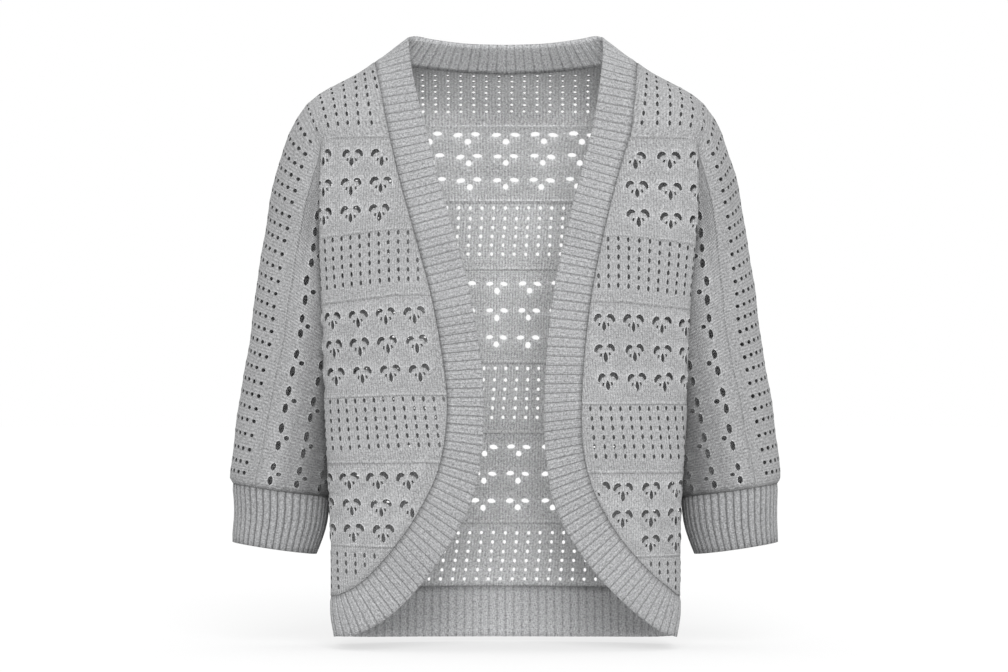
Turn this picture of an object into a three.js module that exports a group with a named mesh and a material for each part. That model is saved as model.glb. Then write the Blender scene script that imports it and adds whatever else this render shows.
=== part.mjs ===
// Open-front pointelle cardigan with three-quarter batwing sleeves, filled out
// as if worn, with nobody in it. Millimetres, +Z up, the front faces -Y and +X
// is the wearer's left. The origin lies between the two points where the
// shoulders meet the neck, because the shoulders carry the garment.
//
// The cloth is one shell of grid patches that share their edge points. The
// shell is cut into pieces along the seams, and each piece is thickened into a
// closed wall of its own.
import * as THREE from 'three';

// ---------------------------------------------------------------- sizes
const WALL = 2.0; // thickness of the knitted cloth
const SEAM_GAP = 0.3; // clear width between two pieces at a seam
const SHARPEST = 0.4; // where the cloth folds sharply, no corner grows past this
const OVERARM_SEAM = -10; // degrees behind the outermost line of the sleeve
const SHOULDER_END = 4; // row of ARM where the shoulder turns into the sleeve
const ARMPIT = 9; // row of ARM whose ring closes at the armpit
const CUFF_JOIN = 13; // row of ARM where the sleeve meets its cuff
const CUFF_END = 15; // row of ARM at the free edge of the cuff
const NECK_POINT = 0.45; // place along ARM where band, front and back meet
const ARMPIT_Z = -235;
const SIDE_SEAM_END = -545; // foot of the side seam, where the ribs begin
const BACK_HEM_TOP = -543; // the back rib's seam at the middle of the back
const HEM_EDGE_SIDE = -589; // free edge of the hem at the side seam
const HEM_EDGE_BACK = -596; // free edge of the hem at the middle of the back
const EDGE_FULLNESS = 0.62; // how far the flat of the chest runs to the side
const EDGE_ROUNDING = 17; // pull of the chest curve at the side edge
const RETURN_ROUNDING = 12; // the same where the cloth turns back inwards
const FOLD_EASE = 1.3; // how late the sleeve's cloth turns in to the fold
const UNDER_ARMPIT = { place: 0.15, drop: 9 }; // first row below the armpit

// Number of cells of each patch.
const CELLS = {
  ribbon: 4, shoulder: 7, neck: 6, toArmpit: 6, toHem: 8, sideReturn: 4,
  sleeve: 8, sleeveRound: 6, cuff: 3, band: 3, hem: 3,
};

// The arm, from the neck over the shoulder and down to the cuff. 'top' is the
// outermost line, 'mid' the middle of the ring. 'front' and 'back' are the
// ring's reach along Y. 'ridge' and 'backRidge' are the angles of the purl
// ridges, and 'inner' the angle where the cloth of the sleeve ends: at the fold
// whose height is 'fold', or at the underarm seam. 'lift' raises the ring's
// middle for its back half.
const ARM = [
  { place: 0, topX: 125, topZ: 10, midX: 112, midY: -14, midZ: -75,
    front: 43, back: 88, ridge: 90, backRidge: 90, inner: 90, fold: -80, lift: 17 },
  { place: 1, topX: 149.5, topZ: -7.2, midX: 147, midY: -9, midZ: -75,
    front: 41, back: 72, ridge: 90, backRidge: 90, inner: 90, fold: -80, lift: 15 },
  { place: 2, topX: 174, topZ: -20, midX: 168, midY: -5, midZ: -75.5,
    front: 41, back: 62, ridge: 90, backRidge: 90, inner: 90, fold: -80, lift: 10 },
  { place: 3, topX: 190, topZ: -28.5, midX: 179.5, midY: -1, midZ: -77,
    front: 43, back: 54, ridge: 90, backRidge: 90, inner: 90, fold: -80, lift: 4 },
  { place: 4, topX: 206, topZ: -41.5, midX: 188.5, midY: 3, midZ: -80,
    front: 45, back: 47, ridge: 90, backRidge: 90, inner: 90, fold: -80, lift: 0 },
  { place: 5, topX: 220, topZ: -63, midX: 184, midY: 5, midZ: -95,
    front: 46, back: 47.5, ridge: 80, backRidge: 80, inner: 84, fold: -98, lift: 0 },
  { place: 6, topX: 230, topZ: -92, midX: 182, midY: 7, midZ: -107,
    front: 48, back: 48.5, ridge: 75, backRidge: 77, inner: 86, fold: -116, lift: 0 },
  { place: 7, topX: 238.2, topZ: -117, midX: 186, midY: 9, midZ: -128,
    front: 50, back: 50, ridge: 73, backRidge: 76, inner: 92, fold: -145, lift: 0 },
  { place: 8, topX: 245.4, topZ: -151, midX: 192.2, midY: 11, midZ: -160.5,
    front: 52, back: 52, ridge: 71, backRidge: 75, inner: 100, fold: -185, lift: 0 },
  { place: 9, topX: 255.3, topZ: -219, midX: 201.9, midY: 12, midZ: -227,
    front: 53, back: 54, ridge: 70, backRidge: 74, inner: 180, fold: ARMPIT_Z, lift: 0 },
  { place: 9.15, topX: 256.8, topZ: -229, midX: 204.9, midY: 12, midZ: -237,
    front: 53, back: 54, ridge: 70, backRidge: 74, inner: 180, fold: ARMPIT_Z, lift: 0 },
  { place: 10, topX: 265, topZ: -286.2, midX: 211.6, midY: 12, midZ: -294.2,
    front: 54, back: 54, ridge: 69, backRidge: 73, inner: 180, fold: ARMPIT_Z, lift: 0 },
  { place: 11, topX: 276.4, topZ: -360.6, midX: 223, midY: 11, midZ: -368.6,
    front: 54.5, back: 54.5, ridge: 65, backRidge: 70, inner: 180, fold: ARMPIT_Z, lift: 0 },
  { place: 12, topX: 284.6, topZ: -421.5, midX: 230.9, midY: 10, midZ: -429.4,
    front: 54.5, back: 54.5, ridge: 60.5, backRidge: 66, inner: 180, fold: ARMPIT_Z, lift: 0 },
  { place: 13, topX: 281.8, topZ: -430.5, midX: 232, midY: 10, midZ: -437.5,
    front: 51, back: 51, ridge: 60, backRidge: 65, inner: 180, fold: ARMPIT_Z, lift: 0 },
  { place: 14, topX: 279, topZ: -462, midX: 232.8, midY: 9, midZ: -468.5,
    front: 47.5, back: 47.5, ridge: 60, backRidge: 65, inner: 180, fold: ARMPIT_Z, lift: 0 },
  { place: 15, topX: 280.8, topZ: -491.8, midX: 238.6, midY: 8, midZ: -497.8,
    front: 43.5, back: 43.5, ridge: 60, backRidge: 65, inner: 180, fold: ARMPIT_Z, lift: 0 },
];

// Level sections of the body, from the middle over the side edge to the fold
// of the sleeve, and below the armpit to the side seam. The last stretch
// arrives at the seam with the outward lean 'hook' and the strength 'bow'.
const FRONT_SECTIONS = [
  { z: -600, middle: -92, edgeX: 178.5, edgeY: -40,
    sideX: 176, sideY: 8, hook: 0, bow: 28 },
  { z: -545, middle: -97, edgeX: 178.5, edgeY: -42,
    sideX: 175, sideY: 8, hook: 0, bow: 30 },
  { z: -460, middle: -104, edgeX: 179.5, edgeY: -46,
    sideX: 169, sideY: 8, hook: 0, bow: 34 },
  { z: -380, middle: -109, edgeX: 184, edgeY: -50,
    sideX: 157, sideY: 8, hook: 0, bow: 38 },
  { z: -300, middle: -113, edgeX: 186.5, edgeY: -52,
    sideX: 144, sideY: 8, hook: 0, bow: 42 },
  { z: -260, middle: -112, edgeX: 188, edgeY: -52,
    sideX: 142.5, sideY: 10, hook: 0, bow: 45 },
  { z: -244, middle: -111, edgeX: 188.4, edgeY: -52,
    sideX: 144.2, sideY: 11, hook: 0.2, bow: 50 },
  { z: ARMPIT_Z, middle: -110, edgeX: 188.5, edgeY: -52,
    sideX: 148.5, sideY: 12, hook: 0.45, bow: 55 },
  { z: -185, middle: -101, edgeX: 190, edgeY: -50,
    sideX: 171, sideY: -13, hook: 0.5, bow: 32 },
  { z: -145, middle: -89, edgeX: 190, edgeY: -48,
    sideX: 182, sideY: -31, hook: 0.5, bow: 13 },
  { z: -110, middle: -76, edgeX: 189.5, edgeY: -45,
    sideX: 187.6, sideY: -40, hook: 0.5, bow: 3 },
  { z: -98, middle: -72, edgeX: 189, edgeY: -43.5,
    sideX: 188.4, sideY: -41.6, hook: 0.5, bow: 1 },
  { z: -80, middle: -64.5, edgeX: 188.5, edgeY: -41.5,
    sideX: 188.5, sideY: -41.5, hook: 0, bow: 0 },
  { z: -60, middle: -56, edgeX: 188.5, edgeY: -40,
    sideX: 188.5, sideY: -40, hook: 0, bow: 0 },
];
const BACK_SECTIONS = [
  { z: -600, middle: 109, edgeX: 175, edgeY: 50,
    sideX: 176, sideY: 8, hook: 0, bow: 28 },
  { z: -545, middle: 107, edgeX: 174, edgeY: 52,
    sideX: 175, sideY: 8, hook: 0, bow: 30 },
  { z: -460, middle: 102, edgeX: 171, edgeY: 56,
    sideX: 169, sideY: 8, hook: 0, bow: 32 },
  { z: -380, middle: 101, edgeX: 168, edgeY: 60,
    sideX: 157, sideY: 8, hook: 0, bow: 34 },
  { z: -300, middle: 107, edgeX: 168, edgeY: 64,
    sideX: 144, sideY: 8, hook: 0, bow: 38 },
  { z: -260, middle: 111, edgeX: 169, edgeY: 65,
    sideX: 142.5, sideY: 10, hook: 0, bow: 40 },
  { z: -244, middle: 111.5, edgeX: 169.6, edgeY: 65.7,
    sideX: 144.2, sideY: 11, hook: 0.2, bow: 43 },
  { z: ARMPIT_Z, middle: 111, edgeX: 170, edgeY: 66,
    sideX: 148.5, sideY: 12, hook: 0.45, bow: 45 },
  { z: -185, middle: 110, edgeX: 179, edgeY: 63,
    sideX: 168, sideY: 34, hook: 0.5, bow: 26 },
  { z: -145, middle: 108, edgeX: 185, edgeY: 59,
    sideX: 179, sideY: 44, hook: 0.5, bow: 11 },
  { z: -110, middle: 104, edgeX: 188, edgeY: 54,
    sideX: 186.8, sideY: 50, hook: 0.5, bow: 2.5 },
  { z: -98, middle: 101, edgeX: 188.4, edgeY: 52,
    sideX: 188, sideY: 50.6, hook: 0.5, bow: 0.8 },
  { z: -80, middle: 96.5, edgeX: 188.5, edgeY: 49.5,
    sideX: 188.5, sideY: 49.5, hook: 0, bow: 0 },
  { z: -50, middle: 88, edgeX: 188.5, edgeY: 46,
    sideX: 188.5, sideY: 46, hook: 0, bow: 0 },
];

// The front band below the first purl ridge: the line where it is sewn to the
// front ('seam') and its free edge ('edge'). The last two rows lie round the
// side of the body: on its side edge, and at the side seam.
const BAND_RIGHT = withPlace([
  { seamX: 118.7, seamZ: -75, edgeX: 81, edgeZ: -68 },
  { seamX: 107.3, seamZ: -123, edgeX: 70, edgeZ: -113.5 },
  { seamX: 90.7, seamZ: -182, edgeX: 52.8, edgeZ: -172 },
  { seamX: 74.3, seamZ: -243, edgeX: 36.5, edgeZ: -234 },
  { seamX: 63.2, seamZ: -306, edgeX: 25, edgeZ: -303 },
  { seamX: 59.1, seamZ: -351, edgeX: 21.8, edgeZ: -352 },
  { seamX: 63.5, seamZ: -395, edgeX: 25, edgeZ: -402 },
  { seamX: 76, seamZ: -434, edgeX: 37, edgeZ: -454 },
  { seamX: 105, seamZ: -483, edgeX: 73, edgeZ: -515 },
  { seamX: 140, seamZ: -524, edgeX: 112, edgeZ: -559 },
  { seamX: 165, seamZ: -541, edgeX: 149, edgeZ: -582 },
]);
const BAND_LEFT = withPlace([
  { seamX: 125.8, seamZ: -75, edgeX: 88.8, edgeZ: -67 },
  { seamX: 113, seamZ: -122, edgeX: 77, edgeZ: -112 },
  { seamX: 98.5, seamZ: -181, edgeX: 61.5, edgeZ: -172 },
  { seamX: 86.5, seamZ: -243, edgeX: 48, edgeZ: -238 },
  { seamX: 79.4, seamZ: -306, edgeX: 41, edgeZ: -305 },
  { seamX: 77.3, seamZ: -351, edgeX: 39.2, edgeZ: -354 },
  { seamX: 78.8, seamZ: -393, edgeX: 41, edgeZ: -401 },
  { seamX: 89.5, seamZ: -436, edgeX: 51, edgeZ: -455 },
  { seamX: 115, seamZ: -482, edgeX: 84, edgeZ: -511 },
  { seamX: 146, seamZ: -518, edgeX: 119, edgeZ: -549 },
  { seamX: 168, seamZ: -537, edgeX: 153, edgeZ: -577 },
]);
const BAND_TURN = 6.6; // row of the band where its seam turns along the hem
const BAND_SIDE_EDGE = 11; // row on the side edge of the body
const BAND_FOOT = 12; // row at the side seam

// Free edge of the band above the first ridge: 0 at the ridge, where it meets
// the tables above, 1 at the neck point on the shoulder.
const OVER_SHOULDER_RIGHT = [
  { place: 0.25, x: 90, y: -47.5, z: -35 },
  { place: 0.5, x: 96, y: -32, z: -6 },
  { place: 0.75, x: 99, y: -17, z: 14 },
  { place: 1, x: 100, y: -5, z: 28.5 },
];
const OVER_SHOULDER_LEFT = [
  { place: 0.25, x: 94.5, y: -47.5, z: -35 },
  { place: 0.5, x: 98.5, y: -32, z: -6 },
  { place: 0.75, x: 100.5, y: -17, z: 14 },
  { place: 1, x: 100, y: -5, z: 28.5 },
];
// Back neck, from the middle of the back to the neck point.
const BACK_NECK = [
  { place: 0, seamX: 0, seamY: 45, seamZ: -5.5, edgeX: 0, edgeY: 18.5, edgeZ: 22.2 },
  { place: 0.35, seamX: 47, seamY: 42.5, seamZ: -3.5, edgeX: 40, edgeY: 16.5, edgeZ: 23.4 },
  { place: 0.7, seamX: 94, seamY: 30, seamZ: 1, edgeX: 76, edgeY: 9.5, edgeZ: 27.6 },
  { place: 0.87, seamX: 117, seamY: 17.5, seamZ: 3, edgeX: 91.5, edgeY: 3, edgeZ: 30.3 },
  { place: 1, seamX: 136, seamY: 0, seamZ: 3.5, edgeX: 100, edgeY: -5, edgeZ: 28.5 },
];
const NECK_CROWDING = 0.35; // draws the columns of the back neck to its ends
const NECK_SLOPE_OUT = new THREE.Vector3(0, 15, -9); // cloth leaving the back neck
const NECK_SLOPE_IN = new THREE.Vector3(0, 7, -19); // and reaching the back ridge

const COLOURS = { lace: 0xb9babc, rib: 0xaeafb2 };

// ---------------------------------------------------------------- helpers
// Numbers the rows of a table, so that a place between rows can be asked for.
function withPlace(rows) {
  return rows.map((row, place) => ({ ...row, place }));
}

// Value of every column of a table at 'key' = value, on a smooth curve.
function rowAt(table, key, value) {
  const last = table.length - 1;
  const x = THREE.MathUtils.clamp(value, table[0][key], table[last][key]);
  let i = 0;
  while (i < last - 1 && x > table[i + 1][key]) i += 1;
  const width = table[i + 1][key] - table[i][key];
  const t = (x - table[i][key]) / width;
  const slope = (column, k) => {
    const a = table[Math.max(k - 1, 0)];
    const b = table[Math.min(k + 1, last)];
    return (b[column] - a[column]) / (b[key] - a[key]);
  };
  const row = {};
  for (const column of Object.keys(table[0])) {
    const [p, q] = [table[i][column], table[i + 1][column]];
    const [m, n] = [slope(column, i) * width, slope(column, i + 1) * width];
    row[column] = p * (2 * t ** 3 - 3 * t ** 2 + 1) + m * (t ** 3 - 2 * t ** 2 + t)
      + q * (3 * t ** 2 - 2 * t ** 3) + n * (t ** 3 - t ** 2);
  }
  return row;
}

function lerp(a, b, t) {
  return a + (b - a) * t;
}

function steps(count) {
  return Array.from({ length: count + 1 }, (unused, i) => i / count);
}

function bezier(p0, p1, p2, p3) {
  return new THREE.CubicBezierCurve3(p0, p1, p2, p3);
}

// ---------------------------------------------------------------- body
// One level section of the body, as two curves that meet on the side edge.
function section(table, z) {
  const s = rowAt(table, 'z', z);
  const face = Math.sign(s.middle);
  const point = (x, y) => new THREE.Vector3(x, y, z);
  const upright = Math.sqrt(1 - s.hook ** 2);
  return {
    broad: bezier(
      point(0, s.middle),
      point(EDGE_FULLNESS * s.edgeX, s.middle),
      point(s.edgeX, s.edgeY + face * EDGE_ROUNDING),
      point(s.edgeX, s.edgeY)
    ),
    inward: bezier(
      point(s.edgeX, s.edgeY),
      point(s.edgeX, s.edgeY - face * Math.min(RETURN_ROUNDING, s.bow)),
      point(s.sideX - s.bow * s.hook, s.sideY + face * s.bow * upright),
      point(s.sideX, s.sideY)
    ),
  };
}

// Lengths of the section: to the side edge, and on to the seam or the fold.
function edgeLength(table, z) {
  return section(table, z).broad.getLength();
}

function sideLength(table, z) {
  const s = section(table, z);
  return s.broad.getLength() + s.inward.getLength();
}

// Point of the body at height z, 'along' millimetres of cloth from the middle.
function bodyPoint(table, along, z) {
  const s = section(table, z);
  const edge = s.broad.getLength();
  if (along <= edge) return s.broad.getPointAt(Math.max(along / edge, 0));
  const rest = s.inward.getLength();
  return s.inward.getPointAt(rest > 0 ? Math.min((along - edge) / rest, 1) : 1);
}

// The cloth's length from the middle to the point that lies at x.
function alongAtX(table, x, z) {
  const curve = section(table, z).broad;
  let [low, high] = [0, 1];
  for (let i = 0; i < 30; i += 1) {
    const half = (low + high) / 2;
    if (curve.getPointAt(half).x < x) low = half;
    else high = half;
  }
  return low * curve.getLength();
}

function bodyPointAtX(table, x, z) {
  return bodyPoint(table, alongAtX(table, x, z), z);
}

// ---------------------------------------------------------------- arm
// The ring of the arm at a place along ARM. Over the shoulder its ridges lie
// on the body.
function ring(place) {
  const r = rowAt(ARM, 'place', place);
  const onBody = place < SHOULDER_END;
  const backZ = r.midZ + r.lift;
  const front = onBody ? r.midY - bodyPointAtX(FRONT_SECTIONS, r.midX, r.midZ).y : r.front;
  const back = onBody ? bodyPointAtX(BACK_SECTIONS, r.midX, backZ).y - r.midY : r.back;
  return { ...r, front, back, backZ };
}

// Point of a ring: 0 degrees is outermost, positive angles lead to the front.
function ringPoint(r, degrees) {
  const angle = THREE.MathUtils.degToRad(degrees);
  const [c, s] = [Math.cos(angle), Math.sin(angle)];
  const midZ = degrees > 0 ? r.midZ : r.backZ;
  return new THREE.Vector3(
    r.midX + (r.topX - r.midX) * c,
    r.midY - (degrees > 0 ? r.front : r.back) * s,
    midZ + (r.topZ - midZ) * c
  );
}

// Where the cloth of the sleeve ends: at the fold towards the body, then at
// the underarm seam.
function sleeveEnd(table, place) {
  const r = ring(place);
  if (place >= ARMPIT) return ringPoint(r, 180);
  return bodyPoint(table, sideLength(table, r.fold), r.fold);
}

// Point of the sleeve between its ridge (0) and its end (1).
function sleevePoint(table, place, round) {
  const r = ring(place);
  const face = table === FRONT_SECTIONS ? 1 : -1;
  const start = face > 0 ? r.ridge : r.backRidge;
  const point = ringPoint(r, face * lerp(start, r.inner, round));
  const miss = sleeveEnd(table, place).sub(ringPoint(r, face * r.inner));
  return point.addScaledVector(miss, round ** FOLD_EASE);
}

// ---------------------------------------------------------------- patches
// A patch is a list of columns of points, a column runs from the top down.
function patch(columns, rows, pointAt) {
  return steps(columns).map((u, i) => steps(rows).map((v, j) => pointAt(u, v, i, j)));
}

// Places along the arm of the columns between shoulder and cuff.
const SLEEVE_PLACES = [
  ...steps(CELLS.toArmpit).map((u) => lerp(SHOULDER_END, ARMPIT, u)),
  ...steps(CELLS.sleeve - 1).map((u) => lerp(ARMPIT + UNDER_ARMPIT.place, CUFF_JOIN, u)),
];
// Heights of the rows of the body, which meet the sleeve's columns in the fold.
const BODY_HEIGHTS = [
  ...SLEEVE_PLACES.slice(0, CELLS.toArmpit).map((place) => rowAt(ARM, 'place', place).fold),
  ARMPIT_Z,
  ...steps(CELLS.toHem - 1).map((u) => lerp(ARMPIT_Z - UNDER_ARMPIT.drop, SIDE_SEAM_END, u)),
];

// A row of the band's table, with lengths of cloth in place of x.
function bandRow(table, place) {
  const inTable = table.length - 1;
  const rows = table.map((row) => ({
    place: row.place,
    seam: alongAtX(FRONT_SECTIONS, row.seamX, row.seamZ),
    seamZ: row.seamZ,
    edge: alongAtX(FRONT_SECTIONS, row.edgeX, row.edgeZ),
    edgeZ: row.edgeZ,
  }));
  const edgeRow = (at, length) => ({
    place: at,
    seam: length(FRONT_SECTIONS, SIDE_SEAM_END),
    seamZ: SIDE_SEAM_END,
    edge: length(FRONT_SECTIONS, HEM_EDGE_SIDE),
    edgeZ: HEM_EDGE_SIDE,
  });
  rows.push(edgeRow(inTable + 1, edgeLength), edgeRow(inTable + 2, sideLength));
  return rowAt(rows, 'place', place);
}

// Places along the band of its stations, from the first ridge to the foot.
const BAND_UPRIGHT = BODY_HEIGHTS.map((z) => {
  const down = (z - BODY_HEIGHTS[0]) / (SIDE_SEAM_END - BODY_HEIGHTS[0]);
  return BAND_TURN * down;
});
const BAND_BELOW = steps(CELLS.shoulder).map((u) => lerp(BAND_TURN, BAND_SIDE_EDGE, u));
const BAND_SIDE = steps(CELLS.sideReturn).map((u) => lerp(BAND_SIDE_EDGE, BAND_FOOT, u));

// Place along the arm where the band's seam crosses it, between the neck point
// (0) and the first ridge (1).
function bandCrossing(table, down) {
  const { seamX } = table[0];
  const ridgePlace = (seamX - ARM[0].midX) / (ARM[1].midX - ARM[0].midX);
  return lerp(NECK_POINT, ridgePlace, down);
}

// One front with its half sleeve, for the wearer's left side.
function frontPatches(band) {
  const places = [...steps(CELLS.shoulder).slice(0, -1).map(() => 0), ...SLEEVE_PLACES];
  const ribbon = patch(places.length - 1, CELLS.ribbon, (unused, v, i) => {
    const onBody = i < CELLS.shoulder;
    const start = bandCrossing(band, v);
    const place = onBody ? lerp(start, SHOULDER_END, i / CELLS.shoulder) : places[i];
    const r = ring(place);
    return ringPoint(r, lerp(OVERARM_SEAM, r.ridge, v));
  });
  const ridge = ribbon.map((column) => column[CELLS.ribbon]);
  const rows = BODY_HEIGHTS.length - 1;

  // The broad part of the front fills the space between its four borders,
  // measured as lengths of cloth and heights.
  const top = ridge.slice(0, CELLS.shoulder + 1).map((p) => ({
    along: alongAtX(FRONT_SECTIONS, p.x, p.z), z: p.z,
  }));
  const seamAt = (place) => {
    const row = bandRow(band, place);
    return { along: row.seam, z: row.seamZ };
  };
  const left = BAND_UPRIGHT.map(seamAt);
  const bottom = BAND_BELOW.map(seamAt);
  const right = BODY_HEIGHTS.map((z) => ({ along: edgeLength(FRONT_SECTIONS, z), z }));
  const fill = (u, v, i, j, key) => lerp(left[j][key], right[j][key], u)
    + lerp(top[i][key], bottom[i][key], v)
    - lerp(lerp(top[0][key], top.at(-1)[key], u), lerp(bottom[0][key], bottom.at(-1)[key], u), v);
  const broad = patch(CELLS.shoulder, rows, (u, unused, i, j) => {
    if (j === 0) return ridge[i];
    const v = (BODY_HEIGHTS[j] - BODY_HEIGHTS[0]) / (SIDE_SEAM_END - BODY_HEIGHTS[0]);
    return bodyPoint(FRONT_SECTIONS, fill(u, v, i, j, 'along'), fill(u, v, i, j, 'z'));
  });
  const side = returnPatch(FRONT_SECTIONS, broad.at(-1));
  const sleeve = sleevePatch(FRONT_SECTIONS, ridge.slice(CELLS.shoulder), side.at(-1));
  return { ribbon, broad, side, sleeve };
}

// The cloth that turns in from the side edge to the fold or the side seam.
function returnPatch(table, edge) {
  return patch(CELLS.sideReturn, BODY_HEIGHTS.length - 1, (u, unused, i, j) => {
    if (i === 0 || j === 0) return edge[j];
    const z = BODY_HEIGHTS[j];
    return bodyPoint(table, lerp(edgeLength(table, z), sideLength(table, z), u), z);
  });
}

// The sleeve between its ridge and the fold or the underarm seam.
function sleevePatch(table, ridge, fold) {
  return patch(SLEEVE_PLACES.length - 1, CELLS.sleeveRound, (unused, v, i, j) => {
    if (j === 0 || i === 0) return ridge[i];
    if (j === CELLS.sleeveRound && i <= CELLS.toArmpit) return fold[i];
    return sleevePoint(table, SLEEVE_PLACES[i], v);
  });
}

// Place along BACK_NECK of a column of the back neck.
function neckPlace(column) {
  const u = column / CELLS.neck;
  return u * (1 + NECK_CROWDING * (1 - u ** 2));
}

// Half of the back with its half sleeve. It takes the overarm points and the
// side seam from the front.
function backPatches(front) {
  const shoulderStart = CELLS.neck;
  const columns = CELLS.neck + front.ribbon.length - 1;
  const neckRing = ring(NECK_POINT);
  const arc = THREE.MathUtils.degToRad(90 + OVERARM_SEAM);
  const pull = (4 / 3) * Math.tan(arc / 4);
  const tangent = (degrees) => {
    const nudge = 0.01;
    const ahead = ringPoint(neckRing, degrees - nudge);
    const scale = pull / THREE.MathUtils.degToRad(nudge);
    return ahead.sub(ringPoint(neckRing, degrees)).multiplyScalar(scale);
  };
  const [slopeOut, slopeIn] = [tangent(OVERARM_SEAM), tangent(-90 + 0.01)];
  const neckCurve = (m) => {
    const n = rowAt(BACK_NECK, 'place', m);
    const place = lerp(0, NECK_POINT, m);
    const r = ring(place);
    const foot = bodyPointAtX(BACK_SECTIONS, neckRing.midX * m, m < 1 ? r.backZ : neckRing.backZ);
    const head = m < 1 ? new THREE.Vector3(n.seamX, n.seamY, n.seamZ) : front.ribbon[0][0].clone();
    const away = NECK_SLOPE_OUT.clone().lerp(slopeOut, m ** 3);
    const arrive = NECK_SLOPE_IN.clone().lerp(slopeIn, m ** 3);
    return bezier(head, head.clone().add(away), foot.clone().sub(arrive), foot);
  };
  const ribbon = patch(columns, CELLS.ribbon, (unused, v, i, j) => {
    if (i < shoulderStart) return neckCurve(neckPlace(i)).getPoint(v);
    const k = i - shoulderStart;
    if (j === 0) return front.ribbon[k][0];
    const onBody = k < CELLS.shoulder;
    const place = onBody
      ? lerp(NECK_POINT, SHOULDER_END, k / CELLS.shoulder)
      : SLEEVE_PLACES[k - CELLS.shoulder];
    const r = ring(place);
    return ringPoint(r, lerp(OVERARM_SEAM, -r.backRidge, v));
  });
  const ridge = ribbon.map((column) => column[CELLS.ribbon]);
  const corner = CELLS.neck + CELLS.shoulder;
  const rows = BODY_HEIGHTS.length - 1;
  const share = ridge.slice(0, corner + 1).map((p) => (
    alongAtX(BACK_SECTIONS, p.x, p.z) / edgeLength(BACK_SECTIONS, p.z)
  ));
  share[corner] = 1;
  const broad = patch(corner, rows, (u, unused, i, j) => {
    if (j === 0) return ridge[i];
    const down = (BODY_HEIGHTS[j] - BODY_HEIGHTS[0]) / (SIDE_SEAM_END - BODY_HEIGHTS[0]);
    const foot = lerp(BACK_HEM_TOP, SIDE_SEAM_END, u ** 2);
    const z = lerp(ridge[i].z, foot, down);
    return bodyPoint(BACK_SECTIONS, share[i] * edgeLength(BACK_SECTIONS, z), z);
  });
  const side = returnPatch(BACK_SECTIONS, broad.at(-1));
  for (let j = CELLS.toArmpit; j <= rows; j += 1) side.at(-1)[j] = front.side.at(-1)[j];
  const sleeve = sleevePatch(BACK_SECTIONS, ridge.slice(corner), side.at(-1));
  for (let i = CELLS.toArmpit; i < sleeve.length; i += 1) {
    sleeve[i][CELLS.sleeveRound] = front.sleeve[i][CELLS.sleeveRound];
  }
  return { ribbon, broad, side, sleeve };
}

// The cuff takes its first ring from the sleeve's four patches.
function cuffPatch(front, back) {
  const last = (grid) => grid.at(-1);
  const start = [
    ...last(front.ribbon), ...last(front.sleeve).slice(1),
    ...last(back.sleeve).slice(0, -1).reverse(), ...last(back.ribbon).slice(0, -1).reverse(),
  ];
  const r0 = ring(CUFF_JOIN);
  const angles = [
    ...steps(CELLS.ribbon).map((v) => lerp(OVERARM_SEAM, r0.ridge, v)),
    ...steps(CELLS.sleeveRound).slice(1).map((v) => lerp(r0.ridge, 180, v)),
    ...steps(CELLS.sleeveRound).slice(0, -1).reverse().map((v) => lerp(-r0.backRidge, -180, v)),
    ...steps(CELLS.ribbon).slice(0, -1).reverse().map((v) => lerp(OVERARM_SEAM, -r0.backRidge, v)),
  ];
  const rings = steps(CELLS.cuff).map((u) => ring(lerp(CUFF_JOIN, CUFF_END, u)));
  const grid = rings.map((r, j) => angles.map((angle, i) => (
    j === 0 ? start[i] : ringPoint(r, angle)
  )));
  grid.forEach((row) => { row[row.length - 1] = row[0]; });
  return grid;
}

// Half of the front band, from the middle of the back to the side seam. The
// seam points come from the back and the front.
function bandPatch(band, overShoulder, front, back) {
  const seam = [
    ...back.ribbon.slice(0, CELLS.neck).map((column) => column[0]),
    ...front.ribbon[0],
    ...front.broad[0].slice(1),
    ...front.broad.slice(1).map((column) => column.at(-1)),
    ...front.side.slice(1).map((column) => column.at(-1)),
  ];
  const low = [...BAND_UPRIGHT, ...BAND_BELOW.slice(1), ...BAND_SIDE.slice(1)];
  const ridgeRow = bandRow(band, 0);
  const ridgeEdge = bodyPoint(FRONT_SECTIONS, ridgeRow.edge, ridgeRow.edgeZ);
  const { x, y, z } = ridgeEdge;
  const shoulderEdge = [{ place: 0, x, y, z }, ...overShoulder];
  const across = (i, w) => {
    if (i < CELLS.neck) {
      const n = rowAt(BACK_NECK, 'place', neckPlace(i));
      return seam[i].clone().lerp(new THREE.Vector3(n.edgeX, n.edgeY, n.edgeZ), w);
    }
    const onShoulder = i - CELLS.neck;
    if (onShoulder < CELLS.ribbon) {
      const e = rowAt(shoulderEdge, 'place', 1 - onShoulder / CELLS.ribbon);
      return seam[i].clone().lerp(new THREE.Vector3(e.x, e.y, e.z), w);
    }
    const row = bandRow(band, low[onShoulder - CELLS.ribbon]);
    const height = lerp(row.seamZ, row.edgeZ, w);
    return bodyPoint(FRONT_SECTIONS, lerp(row.seam, row.edge, w), height);
  };
  return seam.map((start, i) => steps(CELLS.band).map((w, j) => (
    j === 0 ? start : across(i, w)
  )));
}

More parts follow.
